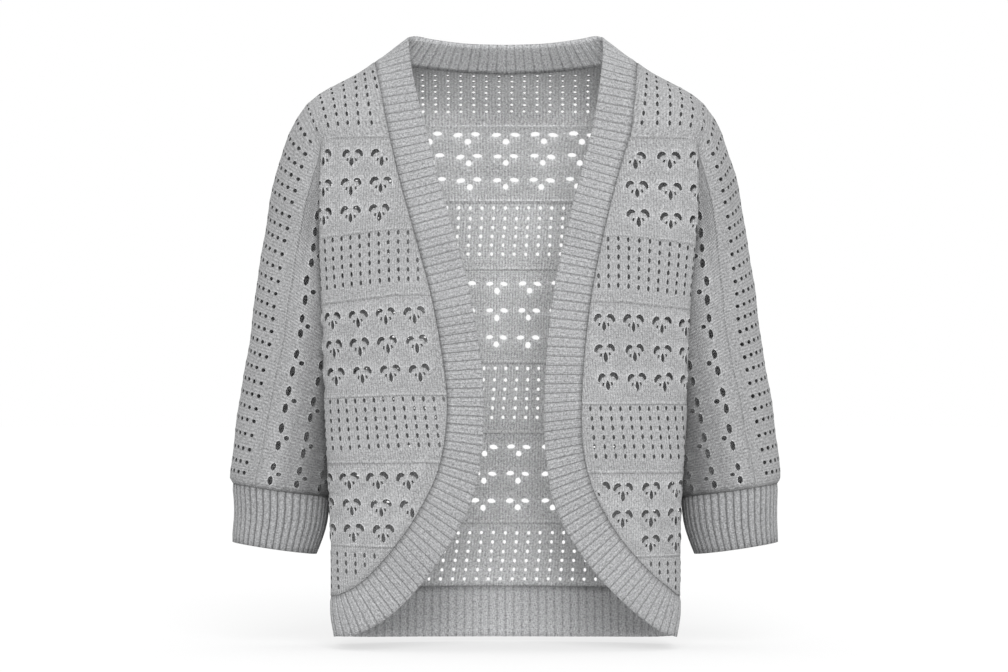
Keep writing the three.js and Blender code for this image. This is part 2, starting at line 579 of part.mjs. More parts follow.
// Half of the back's hem rib, from the middle to the side seam, where it meets
// the foot of the front band.
function hemPatch(back, band) {
  const top = [
    ...back.broad.map((column) => column.at(-1)),
    ...back.side.slice(1).map((column) => column.at(-1)),
  ];
  const last = top.length - 1;
  const foot = band.at(-1);
  return top.map((start, i) => steps(CELLS.hem).map((w, j) => {
    if (j === 0) return start;
    if (i === last) return foot[j];
    const edgeZ = lerp(HEM_EDGE_BACK, HEM_EDGE_SIDE, (i / last) ** 2);
    const z = lerp(start.z, edgeZ, w);
    const onEdge = i < back.broad.length;
    const share = onEdge
      ? alongAtX(BACK_SECTIONS, start.x, start.z) / edgeLength(BACK_SECTIONS, start.z)
      : (i - back.broad.length + 1) / CELLS.sideReturn;
    const along = onEdge
      ? share * edgeLength(BACK_SECTIONS, z)
      : lerp(edgeLength(BACK_SECTIONS, z), sideLength(BACK_SECTIONS, z), share);
    return bodyPoint(BACK_SECTIONS, along, z);
  }));
}

// ---------------------------------------------------------------- shell
// The whole cloth as one surface of triangles, each of which knows its piece.
const shell = { points: [], numbers: new Map(), faces: [] };

function numberOf(point) {
  if (!shell.numbers.has(point)) {
    shell.numbers.set(point, shell.points.length);
    shell.points.push(point);
  }
  return shell.numbers.get(point);
}

function addPatch(grid, piece, flip) {
  for (let i = 0; i + 1 < grid.length; i += 1) {
    for (let j = 0; j + 1 < grid[i].length; j += 1) {
      const quad = [grid[i][j], grid[i][j + 1], grid[i + 1][j + 1], grid[i + 1][j]].map(numberOf);
      const corners = quad.filter((n, k) => n !== quad[(k + 1) % 4]);
      if (flip) corners.push(...corners.splice(1).reverse());
      for (let k = 2; k < corners.length; k += 1) {
        shell.faces.push({ piece, corners: [corners[0], corners[k - 1], corners[k]] });
      }
    }
  }
}

// Mirrors a patch to the wearer's right. Points on the middle plane are shared.
function mirrored(grid, seen) {
  const flipPoint = (p) => {
    if (Math.abs(p.x) < 1e-6) return p;
    if (!seen.has(p)) seen.set(p, new THREE.Vector3(-p.x, p.y, p.z));
    return seen.get(p);
  };
  return grid.map((column) => column.map(flipPoint));
}

function buildShell() {
  const middle = new Map();
  const sides = [
    ['left', BAND_LEFT, OVER_SHOULDER_LEFT],
    ['right', BAND_RIGHT, OVER_SHOULDER_RIGHT],
  ];
  for (const [side, band, overShoulder] of sides) {
    const front = frontPatches(band);
    const back = backPatches(front);
    const bandGrid = bandPatch(band, overShoulder, front, back);
    const hemGrid = hemPatch(back, bandGrid);
    const cuffGrid = cuffPatch(front, back);
    joinMiddle([back.ribbon, back.broad, bandGrid, hemGrid], middle);
    const right = side === 'right';
    const seen = new Map();
    const place = (grid, piece, flip) => {
      addPatch(right ? mirrored(grid, seen) : grid, piece, flip !== right);
    };
    Object.values(front).forEach((grid) => place(grid, `front_${side}`, false));
    Object.values(back).forEach((grid) => place(grid, 'back', true));
    place(bandGrid, 'front_band', false);
    place(hemGrid, 'hem_rib', true);
    place(cuffGrid, `cuff_${side}`, false);
  }
}

// The two halves share the points of the middle plane.
function joinMiddle(grids, middle) {
  grids.forEach((grid, g) => grid[0].forEach((point, j) => {
    const key = `${point.y.toFixed(3)} ${point.z.toFixed(3)}`;
    if (middle.has(key)) grids[g][0][j] = middle.get(key);
    else middle.set(key, point);
  }));
}

// ---------------------------------------------------------------- walls
function faceNormal(corners) {
  const [a, b, c] = corners.map((n) => shell.points[n]);
  return new THREE.Vector3().crossVectors(b.clone().sub(a), c.clone().sub(a));
}

// Normals of the points, each triangle counted by its angle at the point.
function vertexNormals() {
  const normals = shell.points.map(() => new THREE.Vector3());
  for (const { corners } of shell.faces) {
    const normal = faceNormal(corners).normalize();
    corners.forEach((n, k) => {
      const here = shell.points[n];
      const one = shell.points[corners[(k + 1) % 3]].clone().sub(here);
      const other = shell.points[corners[(k + 2) % 3]].clone().sub(here);
      normals[n].addScaledVector(normal, one.angleTo(other));
    });
  }
  return normals.map((normal) => normal.normalize());
}

// The offset at each point that moves its faces out by half of the wall.
function vertexOffsets(normals) {
  const least = normals.map(() => 1);
  for (const face of shell.faces) {
    const normal = faceNormal(face.corners).normalize();
    for (const n of face.corners) least[n] = Math.min(least[n], normal.dot(normals[n]));
  }
  return normals.map((normal, n) => (
    normal.clone().multiplyScalar(WALL / 2 / Math.max((1 + least[n]) / 2, SHARPEST))
  ));
}

// For each edge, as a triangle runs along it, the way into that triangle.
function inwardDirections() {
  const inward = new Map();
  for (const { corners } of shell.faces) {
    const normal = faceNormal(corners).normalize();
    corners.forEach((a, k) => {
      const b = corners[(k + 1) % 3];
      const along = shell.points[b].clone().sub(shell.points[a]).normalize();
      inward.set(`${a} ${b}`, new THREE.Vector3().crossVectors(normal, along));
    });
  }
  return inward;
}

// Edges that only one triangle of the piece has, in that triangle's direction.
function borderEdges(faces) {
  const found = new Map();
  for (const { corners } of faces) {
    corners.forEach((a, k) => {
      const b = corners[(k + 1) % 3];
      if (!found.delete(`${b} ${a}`)) found.set(`${a} ${b}`, [a, b]);
    });
  }
  return [...found.values()];
}

// How far each border point draws back from a seam, half of the seam's gap.
// The piece on the other side of the seam draws back in the opposite way.
function seamShifts(border, inward) {
  const ways = new Map();
  for (const [a, b] of border) {
    const beyond = inward.get(`${b} ${a}`);
    if (!beyond) continue;
    const way = inward.get(`${a} ${b}`).clone().sub(beyond).normalize();
    for (const n of [a, b]) ways.set(n, [...(ways.get(n) || []), way]);
  }
  const shifts = new Map();
  ways.forEach((list, n) => {
    const mean = list.reduce((sum, way) => sum.add(way), new THREE.Vector3());
    mean.divideScalar(list.length);
    shifts.set(n, mean.multiplyScalar(SEAM_GAP / 2 / Math.max(mean.lengthSq(), 0.25)));
  });
  return shifts;
}

function wallGeometry(piece, offsets, inward) {
  const faces = shell.faces.filter((face) => face.piece === piece);
  const border = borderEdges(faces);
  const shifts = seamShifts(border, inward);
  const used = [...new Set(faces.flatMap((face) => face.corners))];
  const slot = new Map(used.map((n, k) => [n, k]));
  const positions = [];
  for (const side of [1, -1]) {
    for (const n of used) {
      const p = shell.points[n].clone().addScaledVector(offsets[n], side);
      if (shifts.has(n)) p.add(shifts.get(n));
      positions.push(p.x, p.y, p.z);
    }
  }
  const indices = [];
  const under = used.length;
  for (const face of faces) {
    const [a, b, c] = face.corners.map((n) => slot.get(n));
    indices.push(a, b, c, a + under, c + under, b + under);
  }
  // Two pieces that share a seam split its rim along the same diagonal.
  for (const [from, to] of border) {
    const [a, b] = [slot.get(from), slot.get(to)];
    if (from < to) indices.push(b, a, a + under, b, a + under, b + under);
    else indices.push(b, a, b + under, a, a + under, b + under);
  }
  const geometry = new THREE.BufferGeometry();
  geometry.setAttribute('position', new THREE.Float32BufferAttribute(positions, 3));
  geometry.setIndex(indices);
  geometry.computeVertexNormals();
  return geometry;
}

// ---------------------------------------------------------------- garment
buildShell();
const offsets = vertexOffsets(vertexNormals());
const inward = inwardDirections();
const group = new THREE.Group();
for (const piece of [...new Set(shell.faces.map((face) => face.piece))]) {
  const isRib = /band|hem|cuff/.test(piece);
  const material = new THREE.MeshStandardMaterial({
    color: isRib ? COLOURS.rib : COLOURS.lace, roughness: 0.95, metalness: 0,
  });
  const mesh = new THREE.Mesh(wallGeometry(piece, offsets, inward), material);
  mesh.name = piece;
  group.add(mesh);
}

export default group;
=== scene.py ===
"""Looks of the open-front pointelle cardigan: real pointelle holes, ribs and soft folds on the CAD form.

The tables give the CAD's own form in millimetres. Each lace panel is triangulated over a grid of points of
that form, with the holes of the stitch chart cut out, and each ribbed piece is a grid with raised ribs.
"""

import math
from itertools import product

import bpy
import numpy as np
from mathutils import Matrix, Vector
from mathutils.geometry import delaunay_2d_cdt


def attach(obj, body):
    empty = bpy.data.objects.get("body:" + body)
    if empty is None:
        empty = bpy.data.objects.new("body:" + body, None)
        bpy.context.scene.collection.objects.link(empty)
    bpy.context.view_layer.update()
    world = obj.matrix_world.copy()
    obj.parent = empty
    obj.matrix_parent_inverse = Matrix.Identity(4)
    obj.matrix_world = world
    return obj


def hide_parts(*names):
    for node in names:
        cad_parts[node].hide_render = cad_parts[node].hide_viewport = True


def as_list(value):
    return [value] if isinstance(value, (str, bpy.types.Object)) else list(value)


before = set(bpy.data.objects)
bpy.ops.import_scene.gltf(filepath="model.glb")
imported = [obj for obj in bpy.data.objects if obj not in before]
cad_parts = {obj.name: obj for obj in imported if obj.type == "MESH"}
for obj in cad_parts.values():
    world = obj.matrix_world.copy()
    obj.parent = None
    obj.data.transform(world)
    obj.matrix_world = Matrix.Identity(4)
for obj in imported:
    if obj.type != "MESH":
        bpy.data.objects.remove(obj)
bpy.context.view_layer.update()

MM = 0.001
MIRROR = np.array([-1, 1, 1])
CAMERA_X, LEVEL, DISTANCE = -1.5, -279, 5000  # the camera, in millimetres
FLOOR_Z, FLOOR_REACH = -0.601, 12.0  # in metres

# ------------------------------------------------------------------ form of the garment, in millimetres


def table(columns, rows):
    """A table with named columns, as one array for each column."""
    return {name: np.array([row[k] for row in rows], float) for k, name in enumerate(columns.split())}


FINE = 4  # grid cells for each cell of the CAD's form
RIBBON, SHOULDER, NECK, SIDE, ROUND, TO_ARMPIT = (FINE * cells for cells in (4, 7, 6, 4, 6, 6))
CELLS_BELOW = 7  # cells of the CAD's form below the armpit
CORNER = NECK + SHOULDER  # column of the back where the sleeve begins
# Places along ARM, and degrees round it from the outermost line of the sleeve.
NECK_POINT, SHOULDER_END, ARMPIT, BELOW_ARMPIT, CUFF_JOIN, CUFF_END = 0.45, 4, 9, 9.15, 13, 15
OVERARM_SEAM, STRAIGHT_BACK = -10, -89.99
ARMPIT_Z, GUSSET_Z, SIDE_SEAM_END, BACK_HEM_TOP = -235, -244, -545, -543
HEM_EDGE_SIDE, HEM_EDGE_BACK = -589, -596
BAND_TURN, BAND_SIDE_EDGE, BAND_FOOT = 6.6, 11, 12  # rows of the band where the hem begins, turns in and ends
FOLD_PULL = 1.3  # how late the sleeve bends towards its fold
NECK_CROWDING, NECK_AWAY, NECK_ARRIVE = 0.35, np.array([0, 15, -9]), np.array([0, 7, -19])

ARM = table("place topX topZ midX midY midZ front back ridge backRidge inner fold lift", [
    (0, 125, 10, 112, -14, -75, 43, 88, 90, 90, 90, -80, 17),
    (1, 149.5, -7.2, 147, -9, -75, 41, 72, 90, 90, 90, -80, 15),
    (2, 174, -20, 168, -5, -75.5, 41, 62, 90, 90, 90, -80, 10),
    (3, 190, -28.5, 179.5, -1, -77, 43, 54, 90, 90, 90, -80, 4),
    (4, 206, -41.5, 188.5, 3, -80, 45, 47, 90, 90, 90, -80, 0),
    (5, 220, -63, 184, 5, -95, 46, 47.5, 80, 80, 84, -98, 0),
    (6, 230, -92, 182, 7, -107, 48, 48.5, 75, 77, 86, -116, 0),
    (7, 238.2, -117, 186, 9, -128, 50, 50, 73, 76, 92, -145, 0),
    (8, 245.4, -151, 192.2, 11, -160.5, 52, 52, 71, 75, 100, -185, 0),
    (9, 255.3, -219, 201.9, 12, -227, 53, 54, 70, 74, 180, -235, 0),
    (9.15, 256.8, -229, 204.9, 12, -237, 53, 54, 70, 74, 180, -235, 0),
    (10, 265, -286.2, 211.6, 12, -294.2, 54, 54, 69, 73, 180, -235, 0),
    (11, 276.4, -360.6, 223, 11, -368.6, 54.5, 54.5, 65, 70, 180, -235, 0),
    (12, 284.6, -421.5, 230.9, 10, -429.4, 54.5, 54.5, 60.5, 66, 180, -235, 0),
    (13, 281.8, -430.5, 232, 10, -437.5, 51, 51, 60, 65, 180, -235, 0),
    (14, 279, -462, 232.8, 9, -468.5, 47.5, 47.5, 60, 65, 180, -235, 0),
    (15, 280.8, -491.8, 238.6, 8, -497.8, 43.5, 43.5, 60, 65, 180, -235, 0),
])
SECTION = "z middle edgeX edgeY sideX sideY hook bow"
FRONT = table(SECTION, [
    (-600, -92, 178.5, -40, 176, 8, 0, 28), (-545, -97, 178.5, -42, 175, 8, 0, 30),
    (-460, -104, 179.5, -46, 169, 8, 0, 34), (-380, -109, 184, -50, 157, 8, 0, 38),
    (-300, -113, 186.5, -52, 144, 8, 0, 42), (-260, -112, 188, -52, 142.5, 10, 0, 45),
    (-244, -111, 188.4, -52, 144.2, 11, 0.2, 50), (-235, -110, 188.5, -52, 148.5, 12, 0.45, 55),
    (-185, -101, 190, -50, 171, -13, 0.5, 32), (-145, -89, 190, -48, 182, -31, 0.5, 13),
    (-110, -76, 189.5, -45, 187.6, -40, 0.5, 3), (-98, -72, 189, -43.5, 188.4, -41.6, 0.5, 1),
    (-80, -64.5, 188.5, -41.5, 188.5, -41.5, 0, 0), (-60, -56, 188.5, -40, 188.5, -40, 0, 0),
])
BACK = table(SECTION, [
    (-600, 109, 175, 50, 176, 8, 0, 28), (-545, 107, 174, 52, 175, 8, 0, 30),
    (-460, 102, 171, 56, 169, 8, 0, 32), (-380, 101, 168, 60, 157, 8, 0, 34),
    (-300, 107, 168, 64, 144, 8, 0, 38), (-260, 111, 169, 65, 142.5, 10, 0, 40),
    (-244, 111.5, 169.6, 65.7, 144.2, 11, 0.2, 43), (-235, 111, 170, 66, 148.5, 12, 0.45, 45),
    (-185, 110, 179, 63, 168, 34, 0.5, 26), (-145, 108, 185, 59, 179, 44, 0.5, 11),
    (-110, 104, 188, 54, 186.8, 50, 0.5, 2.5), (-98, 101, 188.4, 52, 188, 50.6, 0.5, 0.8),
    (-80, 96.5, 188.5, 49.5, 188.5, 49.5, 0, 0), (-50, 88, 188.5, 46, 188.5, 46, 0, 0),
])
BANDS = {
    "right": table("place seamX seamZ edgeX edgeZ", [
        (0, 118.7, -75, 81, -68), (1, 107.3, -123, 70, -113.5), (2, 90.7, -182, 52.8, -172),
        (3, 74.3, -243, 36.5, -234), (4, 63.2, -306, 25, -303), (5, 59.1, -351, 21.8, -352),
        (6, 63.5, -395, 25, -402), (7, 76, -434, 37, -454), (8, 105, -483, 73, -515),
        (9, 140, -524, 112, -559), (10, 165, -541, 149, -582),
    ]),
    "left": table("place seamX seamZ edgeX edgeZ", [
        (0, 125.8, -75, 88.8, -67), (1, 113, -122, 77, -112), (2, 98.5, -181, 61.5, -172),
        (3, 86.5, -243, 48, -238), (4, 79.4, -306, 41, -305), (5, 77.3, -351, 39.2, -354),
        (6, 78.8, -393, 41, -401), (7, 89.5, -436, 51, -455), (8, 115, -482, 84, -511),
        (9, 146, -518, 119, -549), (10, 168, -537, 153, -577),
    ]),
}
OVER_SHOULDER = {
    "right": [(0.25, 90, -47.5, -35), (0.5, 96, -32, -6), (0.75, 99, -17, 14), (1, 100, -5, 28.5)],
    "left": [(0.25, 94.5, -47.5, -35), (0.5, 98.5, -32, -6), (0.75, 100.5, -17, 14), (1, 100, -5, 28.5)],
}
BACK_NECK = table("place seamX seamY seamZ edgeX edgeY edgeZ", [
    (0, 0, 45, -5.5, 0, 18.5, 22.2), (0.35, 47, 42.5, -3.5, 40, 16.5, 23.4),
    (0.7, 94, 30, 1, 76, 9.5, 27.6), (0.87, 117, 17.5, 3, 91.5, 3, 30.3), (1, 136, 0, 3.5, 100, -5, 28.5),
])


def row_at(tab, key, value):
    """Every column of a table at key = value, on a smooth curve through the rows."""
    keys = tab[key]
    last = len(keys) - 1
    x = np.clip(value, keys[0], keys[-1])
    i = np.searchsorted(keys[1:last], x, side="left")
    width = keys[i + 1] - keys[i]
    t = (x - keys[i]) / width
    low, high = np.maximum(np.arange(last + 1) - 1, 0), np.minimum(np.arange(last + 1) + 1, last)
    row = {}
    for name, column in tab.items():
        slope = (column[high] - column[low]) / (keys[high] - keys[low])
        row[name] = (
            column[i] * (2 * t**3 - 3 * t**2 + 1) + slope[i] * width * (t**3 - 2 * t**2 + t)
            + column[i + 1] * (3 * t**2 - 2 * t**3) + slope[i + 1] * width * (t**3 - t**2)
        )
    return row


def lerp(a, b, t):
    return a + (b - a) * t


def smooth(t):
    t = np.clip(t, 0, 1)
    return t * t * (3 - 2 * t)


def ramp(value, start, end):
    """0 up to 'start', 1 from 'end' on and a soft step between them."""
    return smooth((value - start) / (end - start))


def steps(count):
    return np.linspace(0, 1, count + 1)


def refine(values):
    """Puts FINE - 1 values into each interval of a list."""
    values = np.asarray(values, float)
    return np.interp(np.arange((len(values) - 1) * FINE + 1) / FINE, np.arange(len(values)), values)


def bezier(p, t):
    return p[0] * (1 - t) ** 3 + 3 * p[1] * t * (1 - t) ** 2 + 3 * p[2] * t**2 * (1 - t) + p[3] * t**3


def bilinear(grid, i, j):
    """Value of a grid at places between its rows and columns."""
    i0 = np.minimum(np.floor(i).astype(int), grid.shape[0] - 2)
    j0 = np.minimum(np.floor(j).astype(int), grid.shape[1] - 2)
    s, t = i - i0, j - j0
    if grid.ndim == 3:
        s, t = s[:, None], t[:, None]
    near = lerp(grid[i0, j0], grid[i0 + 1, j0], s)
    return lerp(near, lerp(grid[i0, j0 + 1], grid[i0 + 1, j0 + 1], s), t)


class Body:
    """Level sections of the front or back, as lengths of cloth from the middle.

    Each section is two curves: the broad one from the middle to the side edge, and the one that turns inward.
    """

    LEVELS = np.arange(-610, -40, 2.0)
    SAMPLES = 64
    FLAT, BEND, TUCK = 0.62, 17, 12  # share of the width that stays flat, and how the curves leave the edge

    def __init__(self, sections):
        s = row_at(sections, "z", self.LEVELS)
        face = np.sign(s["middle"][0])
        upright = np.sqrt(1 - s["hook"] ** 2)  # hook is the sine of the curve's last slope
        edge_x, edge_y, bow = s["edgeX"], s["edgeY"], s["bow"]
        self.broad = self.even(
            [0 * edge_x, self.FLAT * edge_x, edge_x, edge_x],
            [s["middle"], s["middle"], edge_y + face * self.BEND, edge_y])
        self.inward = self.even(
            [edge_x, edge_x, s["sideX"] - bow * s["hook"], s["sideX"]],
            [edge_y, edge_y - face * np.minimum(self.TUCK, bow),
             s["sideY"] + face * bow * upright, s["sideY"]])

    def even(self, *controls):
        """Evenly spaced points of the curve at each level, as x and y, and the length of each curve."""
        t = steps(self.SAMPLES * 2)
        curves = []
        for x, y in zip(*(bezier([c[:, None] for c in axis], t) for axis in controls)):
            run = np.concatenate([[0], np.cumsum(np.hypot(np.diff(x), np.diff(y)))])
            at = np.linspace(0, run[-1], self.SAMPLES + 1)
            curves.append((np.interp(at, run, x), np.interp(at, run, y), run[-1]))
        return [np.array(each) for each in zip(*curves)]

    def edge(self, z):
        """Length of cloth from the middle to the side edge."""
        return np.interp(z, self.LEVELS, self.broad[2])

    def side(self, z):
        """Length of cloth from the middle to the innermost line."""
        return self.edge(z) + np.interp(z, self.LEVELS, self.inward[2])

    def look(self, grid, share, z):
        k = np.clip((z - self.LEVELS[0]) / (self.LEVELS[1] - self.LEVELS[0]), 0, len(self.LEVELS) - 1.001)
        return bilinear(grid.T, np.clip(share, 0, 1) * self.SAMPLES, k)

    def point(self, along, z):
        along, z = np.broadcast_arrays(np.asarray(along, float), np.asarray(z, float))
        edge = self.edge(z)
        rest = np.maximum(self.side(z) - edge, 1e-6)
        on_broad = along <= edge
        share = np.where(on_broad, along / edge, (along - edge) / rest)
        x, y = (np.where(on_broad, self.look(self.broad[k], share, z), self.look(self.inward[k], share, z))
                for k in (0, 1))
        return np.stack([x, y, z], -1)

    def along_at(self, x, z):
        """Length of cloth at which the broad curve passes x."""
        x, z = np.broadcast_arrays(np.asarray(x, float), np.asarray(z, float))
        low, high = np.zeros(x.shape), self.edge(z)
        for _ in range(30):
            half = (low + high) / 2
            less = self.point(half, z)[..., 0] < x
            low, high = np.where(less, half, low), np.where(less, high, half)
        return low

    def point_at_x(self, x, z):
        return self.point(self.along_at(x, z), z)


body_front, body_back = Body(FRONT), Body(BACK)


def ring(place):
    """The ring of the arm at a place along ARM. Over the shoulder its ridges lie on the body."""
    r = row_at(ARM, "place", place)
    r["backZ"] = r["midZ"] + r["lift"]
    on_body = np.asarray(place) < SHOULDER_END
    front = r["midY"] - body_front.point_at_x(r["midX"], r["midZ"])[..., 1]
    back = body_back.point_at_x(r["midX"], r["backZ"])[..., 1] - r["midY"]
    r["front"], r["back"] = np.where(on_body, front, r["front"]), np.where(on_body, back, r["back"])
    return r


def ring_point(r, degrees):
    """Point of a ring: 0 degrees is outermost, positive angles lead to the front."""
    c, s = np.cos(np.radians(degrees)), np.sin(np.radians(degrees))
    mid_z = np.where(degrees > 0, r["midZ"], r["backZ"])
    reach = np.where(degrees > 0, r["front"], r["back"])
    x = r["midX"] + (r["topX"] - r["midX"]) * c
    y = r["midY"] - reach * s
    z = mid_z + (r["topZ"] - mid_z) * c
    return np.stack(np.broadcast_arrays(x, y, z), -1)


def sleeve_grid(body, face):
    """The sleeve from its ridge (across = 0) to the fold or the underarm seam (1), down the arm."""
    place, across = np.meshgrid(places_down, steps(ROUND), indexing="ij")
    r = ring(place)
    start = r["ridge"] if face > 0 else r["backRidge"]
    point = ring_point(r, face * lerp(start, r["inner"], across))
    fold = body.point(body.side(r["fold"]), r["fold"])
    end = np.where((place >= ARMPIT)[..., None], ring_point(r, 180.0), fold)
    point = point + (end - ring_point(r, face * r["inner"])) * (across**FOLD_PULL)[..., None]
    return {"sleeve": point, "sleeve_place": place, "across": across}


# Places along the arm, and the heights on the body's side that lie next to them.
places_down = np.concatenate([lerp(SHOULDER_END, ARMPIT, steps(TO_ARMPIT)),
                              refine([ARMPIT, *lerp(BELOW_ARMPIT, CUFF_JOIN, steps(CELLS_BELOW))])[1:]])
heights = np.concatenate([row_at(ARM, "place", places_down[:TO_ARMPIT])["fold"], [ARMPIT_Z],
                          refine([ARMPIT_Z, *lerp(GUSSET_Z, SIDE_SEAM_END, steps(CELLS_BELOW))])[1:]])
down = (heights - heights[0]) / (SIDE_SEAM_END - heights[0])


def band_rows(side, place):
    """Rows of the band's table, as lengths of cloth. The last two lie round the side of the body."""
    tab = BANDS[side]
    ends = [(length(SIDE_SEAM_END), SIDE_SEAM_END, length(HEM_EDGE_SIDE), HEM_EDGE_SIDE)
            for length in (body_front.edge, body_front.side)]
    seam = body_front.along_at(tab["seamX"], tab["seamZ"])
    edge = body_front.along_at(tab["edgeX"], tab["edgeZ"])
    rows = np.concatenate([np.stack([seam, tab["seamZ"], edge, tab["edgeZ"]], -1), ends])
    rows = np.column_stack([np.arange(len(rows)), rows])
    return row_at(table("place seam seamZ edge edgeZ", rows), "place", place)


def turned_in(body, z):
    """Lengths of cloth of the columns that turn in from the side edge."""
    return lerp(body.edge(z), body.side(z), steps(SIDE)[1:, None])


def with_side(body, broad, first):
    """A body grid: its broad part, then the cloth that turns in and hangs from the point 'first'."""
    grid = np.concatenate([broad, body.point(turned_in(body, heights), heights)])
    grid[len(broad):, 0] = first
    return grid


def front_grids(side):
    """Grids of one front for +X: the ribbon over shoulder and arm, the body and the sleeve."""
    v = steps(RIBBON)
    mid_x = ARM["midX"]
    crossing = lerp(NECK_POINT, (BANDS[side]["seamX"][0] - mid_x[0]) / (mid_x[1] - mid_x[0]), v)
    on_body = lerp(crossing[None, :], SHOULDER_END, steps(SHOULDER)[:-1, None])
    place = np.concatenate([on_body, np.repeat(places_down[:, None], len(v), 1)])
    r = ring(place)
    ribbon = ring_point(r, lerp(OVERARM_SEAM, r["ridge"], v))
    ridge = ribbon[:SHOULDER + 1, -1]

    def band_seam(place):
        rows = band_rows(side, place)
        return np.stack([rows["seam"], rows["seamZ"]])

    left, bottom = band_seam(BAND_TURN * down), band_seam(lerp(BAND_TURN, BAND_SIDE_EDGE, steps(SHOULDER)))
    right = np.stack([body_front.edge(heights), heights])
    top = np.stack([body_front.along_at(ridge[:, 0], ridge[:, 2]), ridge[:, 2]])
    u, w = steps(SHOULDER)[None, :, None], down[None, None, :]
    fill = lerp(left[:, None, :], right[:, None, :], u) + lerp(top[:, :, None], bottom[:, :, None], w)
    fill -= lerp(*(lerp(line[:, :1, None], line[:, -1:, None], u) for line in (top, bottom)), w)
    broad = body_front.point(fill[0], fill[1])
    broad[:, 0] = ridge
    return {"ribbon": ribbon, "body": with_side(body_front, broad, ridge[-1]), "place": place, "v": v,
            "along": np.concatenate([fill[0], turned_in(body_front, heights)]), **sleeve_grid(body_front, 1)}


def neck_places():
    """Places along BACK_NECK, closer together towards the neck point."""
    u = steps(NECK)[:-1]
    return u * (1 + NECK_CROWDING * (1 - u**2))


def neck_ribbon(v):
    """The cloth of the back below the neck band, as curves from the middle to the neck point."""
    neck_ring = ring(np.array(NECK_POINT))
    pull = 4 / 3 * math.tan(math.radians(90 + OVERARM_SEAM) / 4)

    def tangent(degrees):
        nudge = 0.01
        ahead = ring_point(neck_ring, degrees - nudge) - ring_point(neck_ring, degrees)
        return ahead * pull / math.radians(nudge)

    slope_out, slope_in = tangent(OVERARM_SEAM), tangent(STRAIGHT_BACK)
    curves = []
    for m in neck_places():
        n = row_at(BACK_NECK, "place", np.array(m))
        foot = body_back.point_at_x(neck_ring["midX"] * m, ring(np.array(NECK_POINT * m))["backZ"])
        head = np.array([n["seamX"], n["seamY"], n["seamZ"]])
        away, arrive = lerp(NECK_AWAY, slope_out, m**3), lerp(NECK_ARRIVE, slope_in, m**3)
        curves.append(bezier([head, head + away, foot - arrive, foot], v[:, None]))
    return curves


def back_grids(front):
    """Grids of half of the back for +X: neck, shoulder and arm in one ribbon, the body and the sleeve."""
    v = steps(RIBBON)
    places = np.concatenate([lerp(NECK_POINT, SHOULDER_END, steps(SHOULDER)[:-1]), places_down])
    place = np.repeat(places[:, None], len(v), 1)
    r = ring(place)
    ribbon = np.concatenate([neck_ribbon(v), ring_point(r, lerp(OVERARM_SEAM, -r["backRidge"], v))])
    ribbon[NECK:, 0] = front["ribbon"][:, 0]
    ridge = ribbon[:CORNER + 1, -1]
    share = body_back.along_at(ridge[:, 0], ridge[:, 2]) / body_back.edge(ridge[:, 2])
    share[CORNER] = 1
    foot = lerp(BACK_HEM_TOP, SIDE_SEAM_END, steps(CORNER) ** 2)
    z = lerp(ridge[:, 2][:, None], foot[:, None], down)
    along = share[:, None] * body_back.edge(z)
    broad = body_back.point(along, z)
    broad[:, 0] = ridge
    body = with_side(body_back, broad, ridge[-1])
    body[-1, TO_ARMPIT:] = front["body"][-1, TO_ARMPIT:]
    grids = {"ribbon": ribbon, "body": body, "place": place, "v": v,
             "along": np.concatenate([along, turned_in(body_back, heights)]), **sleeve_grid(body_back, -1)}
    grids["sleeve"][TO_ARMPIT:, -1] = front["sleeve"][TO_ARMPIT:, -1]
    return grids


def band_grid(side, front, back, across):
    """Half of the front band for +X, from the middle of the back to the side seam."""
    body = front["body"]
    seam = np.concatenate([back["ribbon"][:NECK, 0], front["ribbon"][0], body[0, 1:], body[1:, -1]])
    n = row_at(BACK_NECK, "place", neck_places())
    ridge = band_rows(side, np.array([0.0]))
    start = body_front.point(ridge["edge"], ridge["edgeZ"])[0]
    over = table("place x y z", [(0, *start), *OVER_SHOULDER[side]])
    e = row_at(over, "place", 1 - steps(RIBBON)[:-1])
    neck_edge = np.stack([n["edgeX"], n["edgeY"], n["edgeZ"]], -1)
    upper = np.concatenate([neck_edge, np.stack([e["x"], e["y"], e["z"]], -1)])
    low = np.concatenate([BAND_TURN * down, lerp(BAND_TURN, BAND_SIDE_EDGE, steps(SHOULDER))[1:],
                          lerp(BAND_SIDE_EDGE, BAND_FOOT, steps(SIDE))[1:]])
    rows = {key: column[:, None] for key, column in band_rows(side, low).items()}
    on_front = body_front.point(lerp(rows["seam"], rows["edge"], across),
                                lerp(rows["seamZ"], rows["edgeZ"], across))
    grid = np.concatenate([lerp(seam[:len(upper), None], upper[:, None], across[:, None]), on_front])
    grid[:, 0] = seam
    return grid


def hem_grid(back, band, across):
    """Half of the back's hem rib, from the middle to the side seam."""
    start = back["body"][:, -1]
    edge_z = lerp(HEM_EDGE_BACK, HEM_EDGE_SIDE, (np.arange(len(start)) / (len(start) - 1)) ** 2)
    z = lerp(start[:, 2][:, None], edge_z[:, None], across)
    on_broad = CORNER + 1
    share = body_back.along_at(start[:on_broad, 0], start[:on_broad, 2]) / body_back.edge(start[:on_broad, 2])
    broad = share[:, None] * body_back.edge(z[:on_broad])
    along = np.concatenate([broad, turned_in(body_back, z[on_broad:])])
    grid = body_back.point(along, z)
    grid[:, 0], grid[-1] = start, band[-1]
    return grid


